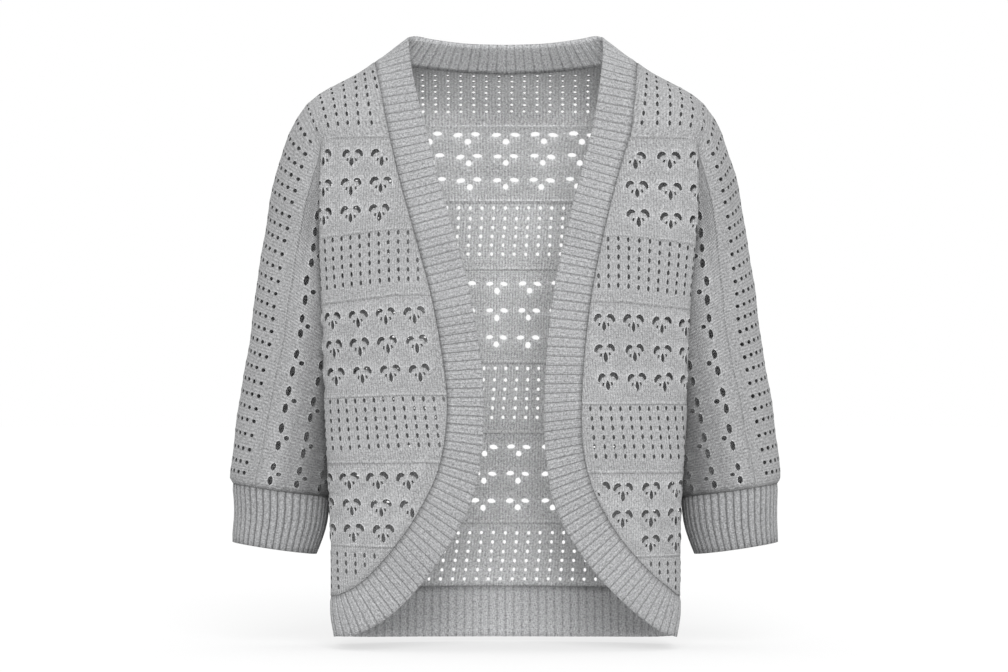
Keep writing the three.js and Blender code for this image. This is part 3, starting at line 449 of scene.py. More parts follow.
def cuff_grid(front, back, across):
    """The cuff all round the arm, from the join to its edge."""
    join = ring(np.array(float(CUFF_JOIN)))
    v, s = steps(RIBBON), steps(ROUND)
    angles = np.concatenate([
        lerp(OVERARM_SEAM, join["ridge"], v), lerp(join["ridge"], 180, s)[1:],
        lerp(-join["backRidge"], -180, s)[-2::-1], lerp(OVERARM_SEAM, -join["backRidge"], v)[-2::-1],
    ])
    start = np.concatenate([front["ribbon"][-1], front["sleeve"][-1, 1:],
                            back["sleeve"][-1, -2::-1], back["ribbon"][-1, -2::-1]])
    grid = ring_point(ring(lerp(CUFF_JOIN, CUFF_END, across)), angles[:, None])
    grid[:, 0] = start
    grid[-1] = grid[0]
    return grid


# ------------------------------------------------------------------ stitch chart
# Rows of the chart: ridges of purl at 0, 10.5, 17.5, 27.5, 34.5 and 44, petals at 2, 5, 8, 19, ...,
# and dots between. The columns give the height of each row at the side edge and near the opening.
ROWS = table("row right_side right_open left_side left_open back", [
    (-2, -57, -57, -57, -57, -38), (0, -75, -75, -75, -75, -54), (2, -92.6, -92.5, -94.4, -95.6, -67),
    (5, -124, -120.4, -129.2, -125, -89.5), (8, -153.2, -148.6, -161.4, -153.9, -114.5),
    (10.5, -178.5, -170.4, -183.9, -177.7, -134), (11, -183.9, -175.3, -192.1, -181.2, -145.4),
    (16, -230.9, -222.2, -237.1, -229.1, -192.5), (17.5, -245.7, -236.7, -250.4, -243.5, -207.5),
    (19, -261, -254.8, -266.8, -261.7, -223.9), (22, -289.1, -283.2, -294.6, -291.7, -252),
    (25, -317.1, -312.2, -322.2, -320.8, -280.7), (27.5, -341.2, -337.7, -345.5, -346.3, -304),
    (28, -347.3, -343.4, -353.6, -352.8, -315.3), (33, -393.8, -389.3, -402.1, -400.8, -364.8),
    (34.5, -407.9, -406.5, -418, -416.5, -379.5), (36, -423.1, -421.7, -430.9, -432.8, -396.1),
    (39, -448.4, -449.9, -459.1, -460.2, -424.1), (42, -474.4, -476.4, -485.2, -486.5, -452.5),
    (44, -491.8, -491.6, -503.1, -502.7, -474), (45, -501, -505.8, -511.2, -511.8, -486.5),
    (50, -543, -546, -553, -553, -535), (52, -560, -563, -570, -570, -556),
])
RIDGES = [0, 10.5, 17.5, 27.5, 34.5, 44]
COLUMN, ROW = 10.4, 9.5  # millimetres of cloth to a column and to a row
ARM_COLUMN, SHOULDER_PITCH = 13.8, 13.3  # the same on the sleeves, and across the back's shoulders
WALE, COURSE, RIB_WALE = COLUMN / 4, 1.75, 2.3  # the small stitches, in millimetres
RIM_LIFT, RIM_WIDTH = 0.7, 1.2  # how far the yarn round a hole stands up and reaches, in millimetres
RIM_HEIGHT, RIM_FOOT = {"dot": 0.35, "flower": 1.0}, 0.25  # shares of the lift, at a hole and at a rim's foot
EDGE_MARGIN, RIM_GAP, FREE_OF_RIM = 0.6, 0.15, 2.4  # from a rim to an edge, a rim and a free point
HOLE_SIZES, STRAY, FLOWER_WIDTHS = (0.93, 1.09), 0.16, (0.75, 1.35)  # how unlike each other holes are
STRETCH = 0.5, 1.25  # how narrow or wide a hole's outline may come out on the cloth
FARTHEST = {"dot": 2, "flower": 3}  # millimetres that a hole of the back may move out of sight
HIDDEN_SIZE = 0.45  # size of a hole of the back that would still be seen through a front's
SPACING = 6.4  # between the free points of a lace panel
OPEN_COLUMN = 1.5  # column near the opening where ROWS gives its second height
FIRST_ROW = 1.4  # row of the first dots above the back's ridge
ARM_STARTS = 196, 221  # distances from the middle between which the body becomes the arm
ARM_HOLES = 204  # distance from which the holes are turned with the arm
RIDGE_GAP_SHADE = 0.2  # share of the painted shade between body and sleeve that the arm's ridge has already
SLEEVE_SHADE_SHARE = -0.55  # share of the painted shade behind the fronts that the inside of the sleeves gets, where a body behind a front has 1; below 0 it paints light there instead
LEAN = 8  # how far the ridge on the wearer's left lies further out
CORNER_IN, CORNER_UP = 4.5, 2.5  # how far the front corners of the hem are drawn in and up
PER_RIB = 10  # grid cells to a rib
SEAM_DIP, EDGE_ROLL = 0.7, 0.35  # how deep a ribbed piece's join lies, and how far its edge stands up
LACE_TINT, RIB_TINT = (0.992, 0.998, 1.01), (0.990, 0.998, 1.014)
# Blocks of dots: first row, last row, a column. Blocks of flowers: rows, a column; every third has one.
DOT_BLOCKS = [(-7.4, -1.4, 0.5), (11, 16, 0), (28, 33, 0.5), (45, 50, 0)]
FLOWERS = {
    "right": [((2, 5, 8), 2), ((19, 22, 25), 1.5), ((36, 39, 42), 1)],
    "left": [((2, 5, 8), 2), ((19, 22, 25), 1.5), ((36, 39, 42), 2)],
    "back": [((2, 5, 8), 0), ((19, 22, 25), 2.5), ((36, 39, 42), 2)],
}
# The chart's columns on the fronts: the column on the side edge and the width of a column.
COLUMNS = {
    "right": table("z edge pitch", [(-560, 10.5, 11.2), (-474, 10.2, 11.1), (-421, 10, 10.9),
                                    (-260, 9.5, 10.2), (-75, 8.6, 10.4)]),
    "left": table("z edge pitch", [(-560, 6, 10.4), (-482, 6.2, 10.4), (-425, 6.4, 10.4), (-395, 6.9, 10.4),
                                   (-322, 8, 10.4), (-260, 8.5, 10.4), (-75, 8.3, 10.4)]),
}
BACK_COLUMNS = table("z start pitch", [
    (-560, -21, 12.8), (-487, -12.7, 12.4), (-424, -10.4, 12), (-364, -8.2, 11.9), (-315, -5.1, 11.5),
    (-252, -3.4, 11.2), (-193, -2.7, 12.2), (-145, -0.2, 12.3), (-65, 0.5, 13.5),
])
# Columns along the arm at the overarm seam, at the ridge and at the underarm.
ARM_COLUMNS = table("place top ridge under", [
    (0, 0.27, 2.25, 2.25), (1, 4, 4.35, 4.35), (2, 6, 6.45, 6.45), (3, 7.3, 7.65, 7.65), (4, 8.6, 8.65, 8.65),
    (5, 10.05, 9.44, 8.8), (6, 12.1, 10.73, 9.5), (7, 14, 12.5, 10.5), (8, 16.3, 15.1, 12.8),
    (9, 21.26, 20.26, 16.3), (10, 26.2, 25.5, 22.9), (11, 31.6, 31.2, 29.4), (12, 36, 36, 36),
    (13, 36.7, 36.7, 36.7),
])
ROUND_ROWS = ([-84, 0, 18, 45, 72, 98, 104, 151], [-8.4, 0, 2, 5, 8, 10.5, 11, 16])


def mirrored(shape):
    return [(-x, y) for x, y in shape]


def even_sided(half):
    """A closed outline from its right half, whose first and last point have no partner."""
    return half + mirrored(half[-2:0:-1])


# Outlines of the holes, in millimetres across and down the knitting from the middle of their stitch.
DOT = even_sided([(0.1, -2.9), (1.2, -1.1), (1.15, 1.4), (0, 3.0)])
PETAL = [(2.6, -1.7), (4.3, -3.6), (6.9, -3.9), (9.2, -2.3), (10.6, 0.5), (10.7, 3.1),
         (9.4, 3.6), (8.1, 1.7), (6.3, 0.0), (4.2, -0.6)]
DROP = even_sided([(0, 3.2), (1.1, 5.6), (1.85, 8.4), (1.6, 11.1), (0, 13.6)])
SLIT = [(3.7, 5.2), (4.5, 5.0), (5.4, 7.8), (4.7, 8.2)]
BACK_PETAL = [(3.2, -0.3), (4.3, -2.1), (6.6, -2.8), (9.2, -2.1), (10.9, 0.0), (10.3, 1.7),
              (8.2, 2.4), (5.8, 2.2), (4.0, 1.2)]
BACK_DROP = even_sided([(0, 3.7), (1.9, 4.7), (2.8, 7.2), (2.2, 9.6), (0, 10.8)])
BACK_DOT = even_sided([(0, -2.1), (1.6, -1.05), (1.6, 1.05), (0, 2.1)])
ARM_DOT = even_sided([(0, -2.6), (1.8, -1.3), (1.8, 1.3), (0, 2.6)])
ARM_PETAL = [(3.7, 0.1), (5.8, -1.9), (9.2, -2.4), (12.6, -1.8), (14.9, 0.4), (12.6, 2.1), (9.2, 2.4),
             (5.8, 1.7)]
ARM_DROP = even_sided([(0, 4.6), (1.8, 5.3), (2.5, 7.1), (1.8, 8.9), (0, 9.6)])
FLOWER_SHAPES = {
    "front": [PETAL, mirrored(PETAL), DROP, SLIT, mirrored(SLIT)],
    "back": [BACK_PETAL, mirrored(BACK_PETAL), BACK_DROP],
    "sleeve": [ARM_PETAL, mirrored(ARM_PETAL), ARM_DROP],
}


def length_along(points, axis):
    """Distance run along one axis of a grid of points."""
    run = np.linalg.norm(np.diff(points, axis=axis), axis=-1)
    zero = np.zeros_like(np.take(run, [0], axis))
    return np.cumsum(np.concatenate([zero, run], axis), axis)


def joined(left, right):
    """One grid from two halves that meet in the middle plane."""
    return np.concatenate([right[:0:-1], left])


def both_halves(left, right):
    """The same for grids of points, which are both given for +X."""
    return joined(left, right * MIRROR)


def arm_columns(grids):
    """Columns of the chart along the arm, on the ribbon and on the sleeve."""
    def between(first, last, place, share):
        ends = (np.interp(place, ARM_COLUMNS["place"], ARM_COLUMNS[key]) for key in (first, last))
        return lerp(*ends, share)

    ribbon = between("top", "ridge", grids["place"], grids["v"])
    return ribbon, between("ridge", "under", grids["sleeve_place"], grids["across"])


def body_rows(name, z, lean):
    """Rows of the chart on the body. 'lean' is 0 on the side edge and 1 near the opening."""
    rows = ROWS["row"][::-1]
    if name == "back":
        return np.interp(z, ROWS["back"][::-1], rows)
    side, opening = (np.interp(z, ROWS[name + end][::-1], rows) for end in ("_side", "_open"))
    return lerp(side, opening, lean)


def arm_share(x):
    """0 on the body to 1 on the arm."""
    return ramp(np.abs(x), *ARM_STARTS)


def gap_shades(grids):
    """Painted shade in the space between body and sleeve, 0 to 1: how far into that space the ribbon, the
    body and the sleeve lie.
    """
    turned = len(grids["body"]) - SIDE - 1
    column = np.maximum(np.arange(len(grids["body"])) - turned, 0) / SIDE
    body = np.repeat(smooth(column * 1.6)[:, None], grids["body"].shape[1], 1)
    distance = length_along(grids["sleeve"], 1)
    below_arm = ramp(-grids["sleeve"][..., 2], 80, 140)
    ribbon = RIDGE_GAP_SHADE * arm_share(grids["ribbon"][..., 0])
    return ribbon, body, RIDGE_GAP_SHADE + (1 - RIDGE_GAP_SHADE) * ramp(distance, 10, 65) * below_arm


def front_charts(name, grids):
    """The grids of one front with the column and the row of the chart and the painted shade between body and
    sleeve at each point.
    """
    ribbon_n, sleeve_n = arm_columns(grids)
    run = length_along(grids["ribbon"], 1)
    ribbon_w = np.interp(run - run[:, -1:], *ROUND_ROWS)
    z = grids["body"][..., 2]
    columns = row_at(COLUMNS[name], "z", z)
    body_n = columns["edge"] - (body_front.edge(z) - grids["along"]) / columns["pitch"]
    lean = np.clip((columns["edge"] - body_n) / (columns["edge"] - OPEN_COLUMN), -0.2, 1.15)
    sleeve_w = np.interp(length_along(grids["sleeve"], 1), *ROUND_ROWS)
    ribbon_gap_shade, body_gap_shade, sleeve_gap_shade = gap_shades(grids)
    return [("front", grids["ribbon"], ribbon_n, ribbon_w, ribbon_gap_shade),
            ("front", grids["body"], body_n, body_rows(name, z, lean), body_gap_shade),
            ("sleeve", grids["sleeve"], sleeve_n, sleeve_w, sleeve_gap_shade)]


def back_charts(grids):
    """The same for the whole back: one ribbon and one body over both halves, and two sleeves."""
    ribbon, sleeve = grids["ribbon"], grids["sleeve"]
    arm_n, sleeve_n = arm_columns(grids)
    ribbon_n = ribbon[..., 0] / SHOULDER_PITCH
    ribbon_n[CORNER:] = ribbon_n[CORNER] + arm_n[SHOULDER:] - arm_n[SHOULDER]
    run = length_along(ribbon, 1)
    above = run[:, -1:] - run
    neck = smooth(1.4 - np.arange(len(ribbon)) / NECK)[:, None]
    # Millimetres of plain knitting above the ridge and to a row, over the shoulders and below the neck.
    plain, row = lerp(14, 16.8, neck), lerp(10, 8.1, neck)
    ribbon_w = -np.where(above < plain, FIRST_ROW * above / plain, FIRST_ROW + (above - plain) / row)
    z = grids["body"][..., 2]
    columns = row_at(BACK_COLUMNS, "z", z)
    body_n, other_n = ((grids["along"] - s * columns["start"]) / columns["pitch"] for s in (1, -1))
    sleeve_n = sleeve_n - ARM_COLUMNS["ridge"][SHOULDER_END] + ribbon_n[CORNER, -1]
    sleeve_w = np.interp(length_along(sleeve, 1), *ROUND_ROWS)
    ribbon_gap_shade, body_gap_shade, sleeve_gap_shade = gap_shades(grids)

    def whole(points, left_n, right_n, w, gap_shade):
        return "back", both_halves(points, points), joined(left_n, -right_n), joined(w, w), joined(gap_shade, gap_shade)

    return [whole(ribbon, ribbon_n, ribbon_n, ribbon_w, ribbon_gap_shade),
            whole(grids["body"], body_n, other_n, body_rows("back", z, 0), body_gap_shade),
            ("sleeve", sleeve, sleeve_n, sleeve_w, sleeve_gap_shade),
            ("sleeve", sleeve[::-1] * MIRROR, -sleeve_n[::-1], sleeve_w[::-1], sleeve_gap_shade[::-1])]


# ------------------------------------------------------------------ lace panels


class Chart:
    """A grid of points with its chart coordinates, over evenly stepped parameters in millimetres."""

    def __init__(self, points, n, w):
        self.points, self.n, self.w = points, n, w
        self.a, self.b = self.run(0), self.run(1)
        self.size = np.array([self.a[-1], self.b[-1]])

    def run(self, axis):
        """Distance run along one axis of the grid, as the middle value over the other axis."""
        gaps = np.median(np.linalg.norm(np.diff(self.points, axis=axis), axis=-1), axis=1 - axis)
        return np.concatenate([[0], np.cumsum(np.maximum(gaps, 0.2))])

    def sample(self, field, ab):
        """Value of a grid field at parameters."""
        i, j = (np.interp(ab[:, k], run, np.arange(len(run))) for k, run in enumerate((self.a, self.b)))
        return bilinear(field, i, j)

    def find(self, n, w, step=0.4, longest=12, stray=6, margin=0.5):
        """Parameters of the point with these chart coordinates, or None outside the grid."""
        gap = (self.n - n) ** 2 + (self.w - w) ** 2
        i, j = np.unravel_index(np.argmin(gap), gap.shape)
        ab = np.array([[self.a[i], self.b[j]]])
        for _ in range(12):
            miss = np.array([n - self.sample(self.n, ab)[0], w - self.sample(self.w, ab)[0]])
            if np.abs(miss).max() < 1e-3:
                return ab[0] if (ab > margin).all() and (ab < self.size - margin).all() else None
            at = np.clip(ab, step, self.size - step)
            grad = np.array([[self.sample(f, at + d)[0] - self.sample(f, at - d)[0] for d in step * np.eye(2)]
                             for f in (self.n, self.w)]) / (2 * step)
            if abs(np.linalg.det(grad)) < 1e-7:
                return None
            ab = ab + np.clip(np.linalg.solve(grad, miss), -longest, longest)
            if (ab < -stray).any() or (ab > self.size + stray).any():
                return None
        return None

    def axes(self, ab, by_rows):
        """Parameter steps of one millimetre across and down the knitting, and the width of a column.

        The second lies along the columns and the first square to it, or with 'by_rows' the other way about.
        """
        d = 0.5
        ends = np.clip(np.array([ab + (d, 0), ab - (d, 0), ab + (0, d), ab - (0, d)]), 0, self.size)

        def slopes(field):
            at = self.sample(field, ends)
            along, across = ends[0][0] - ends[1][0], ends[2][1] - ends[3][1]
            return np.array([(at[0] - at[1]) / along, (at[2] - at[3]) / across])

        (pa, pb), n, w = (slopes(field) for field in (self.points, self.n, self.w))
        metric = np.array([[pa @ pa, pa @ pb], [pa @ pb, pb @ pb]])
        kept, other = (w, n) if by_rows else (n, w)
        first = np.array([-kept[1], kept[0]])
        first *= np.sign(first @ other) / math.sqrt(first @ metric @ first)
        second = metric @ first
        second = np.array([-second[1], second[0]])
        second *= np.sign(second @ kept) / math.sqrt(second @ metric @ second)
        both = np.array([first, second] if by_rows else [second, first])
        return both, 1 / max(abs(both[0] @ n), 1e-3)


def seen(points, margin=0.25):
    """Lowest and highest corner of points as the camera sees them, in millimetres at the middle plane."""
    flat = (points[:, ::2] - (CAMERA_X, LEVEL)) / (1 + points[:, 1:2] / DISTANCE)
    return flat.min(0) - margin, flat.max(0) + margin


def clear_of(chart, ab, outlines, axes, taken, farthest):
    """The smallest move that keeps a stitch's holes from being seen through others, and which still are."""
    best = None
    for reach, turn in [(0, 0), *product(range(1, farthest + 1), range(8))]:
        angle = turn * math.pi / 4
        move = reach * (math.cos(angle) * axes[0] + math.sin(angle) * axes[1])
        boxes = [seen(chart.sample(chart.points, ab + move + outline @ axes)) for outline in outlines]
        hits = [((low < taken[1]) & (high > taken[0])).all(1).any() for low, high in boxes]
        if best is None or sum(hits) < sum(best[1]):
            best = (move, hits)
        if not any(hits):
            break
    return best


def stitches_of(chart, name):
    """Column, row and kind of each stitch with holes in the stretch of the chart that a grid spans."""
    blocks = [(np.arange(first, last + 0.1), start, 1.0, "dot") for first, last, start in DOT_BLOCKS]
    blocks += [(rows, column, 3.0, "flower") for rows, column in FLOWERS[name]]
    for rows, start, repeat, kind in blocks:
        first = math.ceil((chart.n.min() - start) / repeat) * repeat + start
        for row in rows:
            if chart.w.min() <= row <= chart.w.max():
                yield from ((n, row, kind) for n in np.arange(first, chart.n.max(), repeat))


def with_rim(chart, ab, outline, axes, on_arm):
    """Outlines of a hole and its rim, or None too near an edge or where the grid is stretched."""
    middle = outline.mean(0)
    centre = ab + middle @ axes
    if (centre < 1).any() or (centre > chart.size - 1).any():
        return None
    spread = outline - middle
    at = centre + spread @ chart.axes(centre, on_arm)[0]
    stretch = around(chart.sample(chart.points, np.clip(at, 0, chart.size))) / around(outline)
    rim = at.mean(0) + (at - at.mean(0)) * (1 + RIM_WIDTH / np.linalg.norm(spread, axis=1, keepdims=True))
    margin = min(rim.min(0).min(), (chart.size - rim.max(0)).min())
    return (at, rim) if margin > EDGE_MARGIN and STRETCH[0] < stretch < STRETCH[1] else None


def holes_of(chart, part, name, chance, taken=None):
    """The holes of one chart: outline and rim's outline, as parameters, and how thick the rim is."""
    found = []
    for n, row, kind in stitches_of(chart, name):
        ab = chart.find(n, row)
        if ab is None:
            continue
        on_arm = part == "sleeve" or abs(chart.sample(chart.points, ab[None, :])[0, 0]) > ARM_HOLES
        axes, pitch = chart.axes(ab, on_arm)
        if kind == "dot":
            shapes, wide = [ARM_DOT if on_arm else BACK_DOT if part == "back" else DOT], 1.0
        else:
            wide = np.clip(pitch / (ARM_COLUMN if on_arm else COLUMN), *FLOWER_WIDTHS)
            shapes = FLOWER_SHAPES[part]
        outlines = []
        for shape in shapes:
            uneven = np.array(shape) * chance.uniform(*HOLE_SIZES, 2) + chance.normal(0, STRAY, 2)
            outlines.append(uneven * (wide, 1))
        if taken is not None:
            move, hits = clear_of(chart, ab, outlines, axes, taken, FARTHEST[kind])
            ab = ab + move
            outlines = [lerp(o.mean(0), o, HIDDEN_SIZE if hit else 1.0) for o, hit in zip(outlines, hits)]
        made = [with_rim(chart, ab, outline, axes, on_arm) for outline in outlines]
        found += [(*hole, RIM_HEIGHT[kind]) for hole in made if hole]
    return found


def around(outline):
    """Length of a closed outline."""
    return np.linalg.norm(outline - np.roll(outline, 1, 0), axis=1).sum()


def inside(points, outline):
    """Whether each point lies inside a closed outline."""
    x, y = points[:, 0][:, None], points[:, 1][:, None]
    a, b = outline, np.roll(outline, -1, 0)
    straddles = (a[:, 1] > y) != (b[:, 1] > y)
    slope = np.where(b[:, 1] == a[:, 1], 1e-12, b[:, 1] - a[:, 1])
    return (straddles & (x < a[:, 0] + (y - a[:, 1]) / slope * (b[:, 0] - a[:, 0]))).sum(1) % 2 == 1


def apart(holes):
    """Drops a hole whose rim runs into one kept before it."""
    kept, boxes = [], []
    for at, rim, thick in holes:
        low, high = rim.min(0) - RIM_GAP, rim.max(0) + RIM_GAP
        near = [other for l, h, other in boxes if (low < h).all() and (high > l).all()]
        if not any(inside(rim, other).any() or inside(other, rim).any() for other in near):
            kept.append((at, rim, thick))
            boxes.append((low, high, rim))
    return kept


def triangulate(chart, holes):
    """Triangles of a chart round its holes: parameters, faces and how close each point is to a hole."""
    coords, rims, owner, edges = [], [], [], []

    def add(points, near=0.0, mark=-1, closed=True):
        start, count = len(coords), len(points)
        coords.extend(Vector(p) for p in points)
        rims.extend([near] * count)
        owner.extend([mark] * count)
        if closed:
            edges.extend((start + k, start + (k + 1) % count) for k in range(count))

    a, b = chart.a, chart.b
    add([(x, 0.0) for x in a[:-1]] + [(a[-1], y) for y in b[:-1]]
        + [(x, b[-1]) for x in a[:0:-1]] + [(0.0, y) for y in b[:0:-1]])
    for h, (at, rim, thick) in enumerate(holes):
        add(at, thick, h)
        add(rim, RIM_FOOT * thick)
    free = []
    for row, y in enumerate(np.arange(SPACING * 0.6, b[-1] - SPACING * 0.4, SPACING * 0.87)):
        shift = SPACING * (0.3 + 0.5 * (row % 2))
        free += [(x, y) for x in np.arange(shift, a[-1] - SPACING * 0.3, SPACING)]
    free = np.array(free).reshape(-1, 2)
    keep = np.ones(len(free), bool)
    for _, rim, _ in holes:
        middle = rim.mean(0)
        reach = np.linalg.norm(rim - middle, axis=1).max() + FREE_OF_RIM
        keep &= np.linalg.norm(free - middle, axis=1) > reach
    add(free[keep], closed=False)
    result = delaunay_2d_cdt(coords, edges, [], 0, 1e-5, True)
    out = np.array([tuple(p) for p in result[0]])
    source = [ids[0] if ids else -1 for ids in result[3]]
    mark, rim = np.array([*owner, -1])[source], np.array([*rims, 0.0])[source]
    faces = np.array([f for f in result[2] if len(f) == 3])
    marks = mark[faces]
    filled = (marks[:, 0] >= 0) & (marks == marks[:, :1]).all(1)
    for k in np.nonzero(filled)[0]:
        filled[k] = inside(out[faces[k]].mean(0)[None, :], holes[marks[k, 0]][0])[0]
    return out, faces[~filled], rim


def soft_folds(points):
    """Moves points along soft shallow folds of the cloth, the same for every piece, so seams stay shut.

    Heights are in millimetres, and the waves' lengths in radians per millimetre.
    """
    x, y, z = points.T
    side, face = np.sign(x), np.where(y < 0, -1.0, 1.0)
    waves = (
        1.1 * np.sin(0.043 * x + 0.018 * z + 0.7) * np.sin(0.021 * z - 0.4)
        + 0.7 * np.sin(0.071 * x - 0.029 * z + 2.1 * side) + 0.5 * np.sin(0.093 * z + 0.035 * x + 1.3)
    )
    corner = ramp(-z, 560, 600) * ramp(-y, -45, 15)  # the front corners of the hem are rounded
    out = np.zeros_like(points)
    arm_waves = 0.6 * np.sin(0.05 * z + 0.02 * y) + 0.3 * np.sin(0.11 * z + 1.9 * side)
    out[:, 0] = side * arm_share(x) * arm_waves
    out[:, 0] -= side * CORNER_IN * corner * ramp(np.abs(x), 140, 175)
    out[:, 1] = face * waves * ramp(np.abs(y), 0, 40)
    out[:, 2] = CORNER_UP * corner * ramp(np.abs(x), 158, 176)
    return points + out


def lean_left(points):
    """The ridge on the wearer's left shoulder sits a little further out than the one on the right."""
    x, _, z = points.T
    outermost = np.interp(-z, -ARM["topZ"], ARM["topX"])
    reach = ramp(x, 105, 180) * ramp(outermost - x, 2, 26)
    moved = points.copy()
    moved[:, 0] += LEAN * reach * ramp(z, -290, -100) * ramp(-z, -10, 70)
    return moved


def shade_behind_fronts(points):
    """Painted shade from the fronts: how far each point lies hidden by a front as the camera sees it, 0 in
    the opening to 1.
    """
    x, _, z = points.T
    edges = [np.interp(-z, -BANDS[side]["edgeZ"], BANDS[side]["edgeX"]) for side in ("right", "left")]
    return ramp(np.abs(x) - np.where(x < 0, *edges), 14, 64)


def link(name, data):
    obj = bpy.data.objects.new(name, data)
    bpy.context.scene.collection.objects.link(obj)
    return obj


def new_object(name, points, faces, corners, values, materials, thickness):
    """A cloth object with a UV of its knitting at each corner of a face, named point values and a wall."""
    mesh = bpy.data.meshes.new(name)
    placed = lean_left(soft_folds(points)) * MM
    mesh.from_pydata(placed.tolist(), [], faces.tolist())
    mesh.update()
    layer = mesh.uv_layers.new(name="knit")
    layer.data.foreach_set("uv", corners.astype(np.float32).ravel())
    for key, value in values.items():
        attribute = mesh.attributes.new(key, "FLOAT", "POINT")
        attribute.data.foreach_set("value", np.asarray(value, np.float32))
    mesh.polygons.foreach_set("use_smooth", np.ones(len(mesh.polygons), bool))
    for material in materials:
        mesh.materials.append(material)
    obj = link(name, mesh)
    wall = obj.modifiers.new("wall", "SOLIDIFY")
    wall.thickness, wall.offset, wall.material_offset = thickness * MM, 0.0, 1
    wall.material_offset_rim = len(materials) - 1 if len(materials) > 2 else 0
    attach(obj, "root")
    return obj


def weld(points, faces, reach=0.12):
    """Joins points of neighbouring grids in the same place: points kept, all faces and the faces kept."""
    around_cell = list(product((0, -1, 1), repeat=3))
    found, keep, index = {}, [], []
    for k, (x, y, z) in enumerate(np.round(points / reach).astype(int).tolist()):
        near = (found.get((x + dx, y + dy, z + dz)) for dx, dy, dz in around_cell)
        same = (n for n in near if n is not None and np.linalg.norm(points[keep[n]] - points[k]) < reach)
        place = next(same, None)
        if place is None:
            place = found[x, y, z] = len(keep)
            keep.append(k)
        index.append(place)
    faces = np.array(index)[faces]
    real = np.nonzero((faces != np.roll(faces, 1, 1)).all(1))[0]
    _, unique = np.unique(np.sort(faces[real], 1), axis=0, return_index=True)
    return np.array(keep), faces, real[np.sort(unique)]


def lace_panel(name, charts, side, taken=None):
    """One lace panel made of its charts, and the boxes of its holes as the camera sees them."""
    chance = np.random.default_rng(sum(map(ord, name)))
    turn = MIRROR if side == "right" else 1
    outside = 1 if side == "back" else -1
    parts, boxes, count = [], [], 0
    for part, grid, n, w, gap_shade_grid in charts:
        chart = Chart(grid, n, w)
        holes = apart(holes_of(chart, part, side, chance, taken))
        ab, tris, near = triangulate(chart, holes)
        boxes += [seen(chart.sample(grid, at) * turn) for at, _, _ in holes]
        place, column, row, gap_shade = (chart.sample(field, ab) for field in (grid, n, w, gap_shade_grid))
        outward = chart.sample(grid_normals(grid), ab) * outside
        # Painted shade where a front hides the inside; on the sleeves the share is negative, which paints
        # light on their inside.
        shade_share = np.full(len(ab), SLEEVE_SHADE_SHARE if part == "sleeve" else 1.0)
        parts.append((place + RIM_LIFT * near[:, None] * outward, tris[:, ::outside] + count,
                      np.stack([column * COLUMN, row * ROW], -1), near, gap_shade, shade_share))
        count += len(ab)
    points, faces, uv, rim, gap_shade, shade_share = (np.concatenate(each) for each in zip(*parts))
    keep, all_faces, chosen = weld(points, faces)
    corners, faces, points = uv[faces][chosen], all_faces[chosen], points[keep] * turn
    if side == "right":
        faces, corners = faces[:, ::-1], corners[:, ::-1]
    values = {"rim": rim[keep], "gap_shade": gap_shade[keep], "front_shade": shade_behind_fronts(points) * shade_share[keep]}
    return new_object(name, points, faces, corners, values, LACE, 1.5), boxes


# ------------------------------------------------------------------ ribbed pieces


def grid_normals(points, closed=False):
    """Normals of a grid of points."""
    along = np.roll(points, -1, 0) - np.roll(points, 1, 0) if closed else np.gradient(points, axis=0)
    normal = np.cross(along, np.gradient(points, axis=1))
    return normal / np.maximum(np.linalg.norm(normal, axis=-1, keepdims=True), 1e-9)


def ribbed(name, grid, period, materials, height, outward, second=0.0, closed=False):
    """A ribbed piece: the ribs run across the grid's columns and fan out with it. 'second' parts each rib."""
    middle = grid[:, grid.shape[1] // 2]
    run = length_along(middle[:, None], 0)[:, 0]
    ribs = int(round(run[-1] / period))
    at = np.linspace(0, run[-1], ribs * PER_RIB + 1)
    fine = np.apply_along_axis(lambda line: np.interp(at, run, line), 0, grid)
    if closed:
        fine = fine[:-1]
    phase = (np.arange(len(fine)) / PER_RIB)[:, None]
    part = phase % 1.0
    chance = np.random.default_rng(len(name))
    sizes = chance.uniform(0.85, 1.15, ribs + 1)[np.floor(phase).astype(int) % (ribs + 1)]
    swell = np.sin(np.pi * part) ** 0.7 - 0.5 - second * np.exp(-(((part - 0.5) / 0.09) ** 2))
    seam = length_along(fine, 1)
    free = seam[:, -1:] - seam
    lift = height * swell * sizes * smooth(seam / 2.5) - SEAM_DIP * (1 - smooth(seam / 2.2))
    lift = lift * smooth(free / 2.0) + EDGE_ROLL * (1 - smooth(free / 3.0))
    fine = fine + grid_normals(fine, closed) * outward * lift[..., None]
    ni, nj = fine.shape[:2]
    i, j = np.meshgrid(np.arange(ni if closed else ni - 1), np.arange(nj - 1), indexing="ij")
    here, after = i * nj + j, (i + 1) % ni * nj + j
    quads = np.stack([here, after, after + 1, here + 1], -1).reshape(-1, 4)[:, ::outward]
    # Shares for the material: painted shade in the grooves and in the faint groove that parts each rib,
    # painted highlight along the rolled free edge, and the join.
    values = {"groove_shade": 1 - np.sin(np.pi * part), "minor_groove_shade": second * np.exp(-(((part - 0.5) / 0.1) ** 2)),
              "edge": 1 - smooth(free / 2.6), "join": 1 - smooth(seam / 1.8)}
    values = {key: np.broadcast_to(value, seam.shape).ravel() for key, value in values.items()}
    uv = np.stack([np.broadcast_to(phase * period, seam.shape), seam], -1).reshape(-1, 2)
    return new_object(name, fine.reshape(-1, 3), quads, uv[quads], values, materials, 1.7)


# ------------------------------------------------------------------ materials


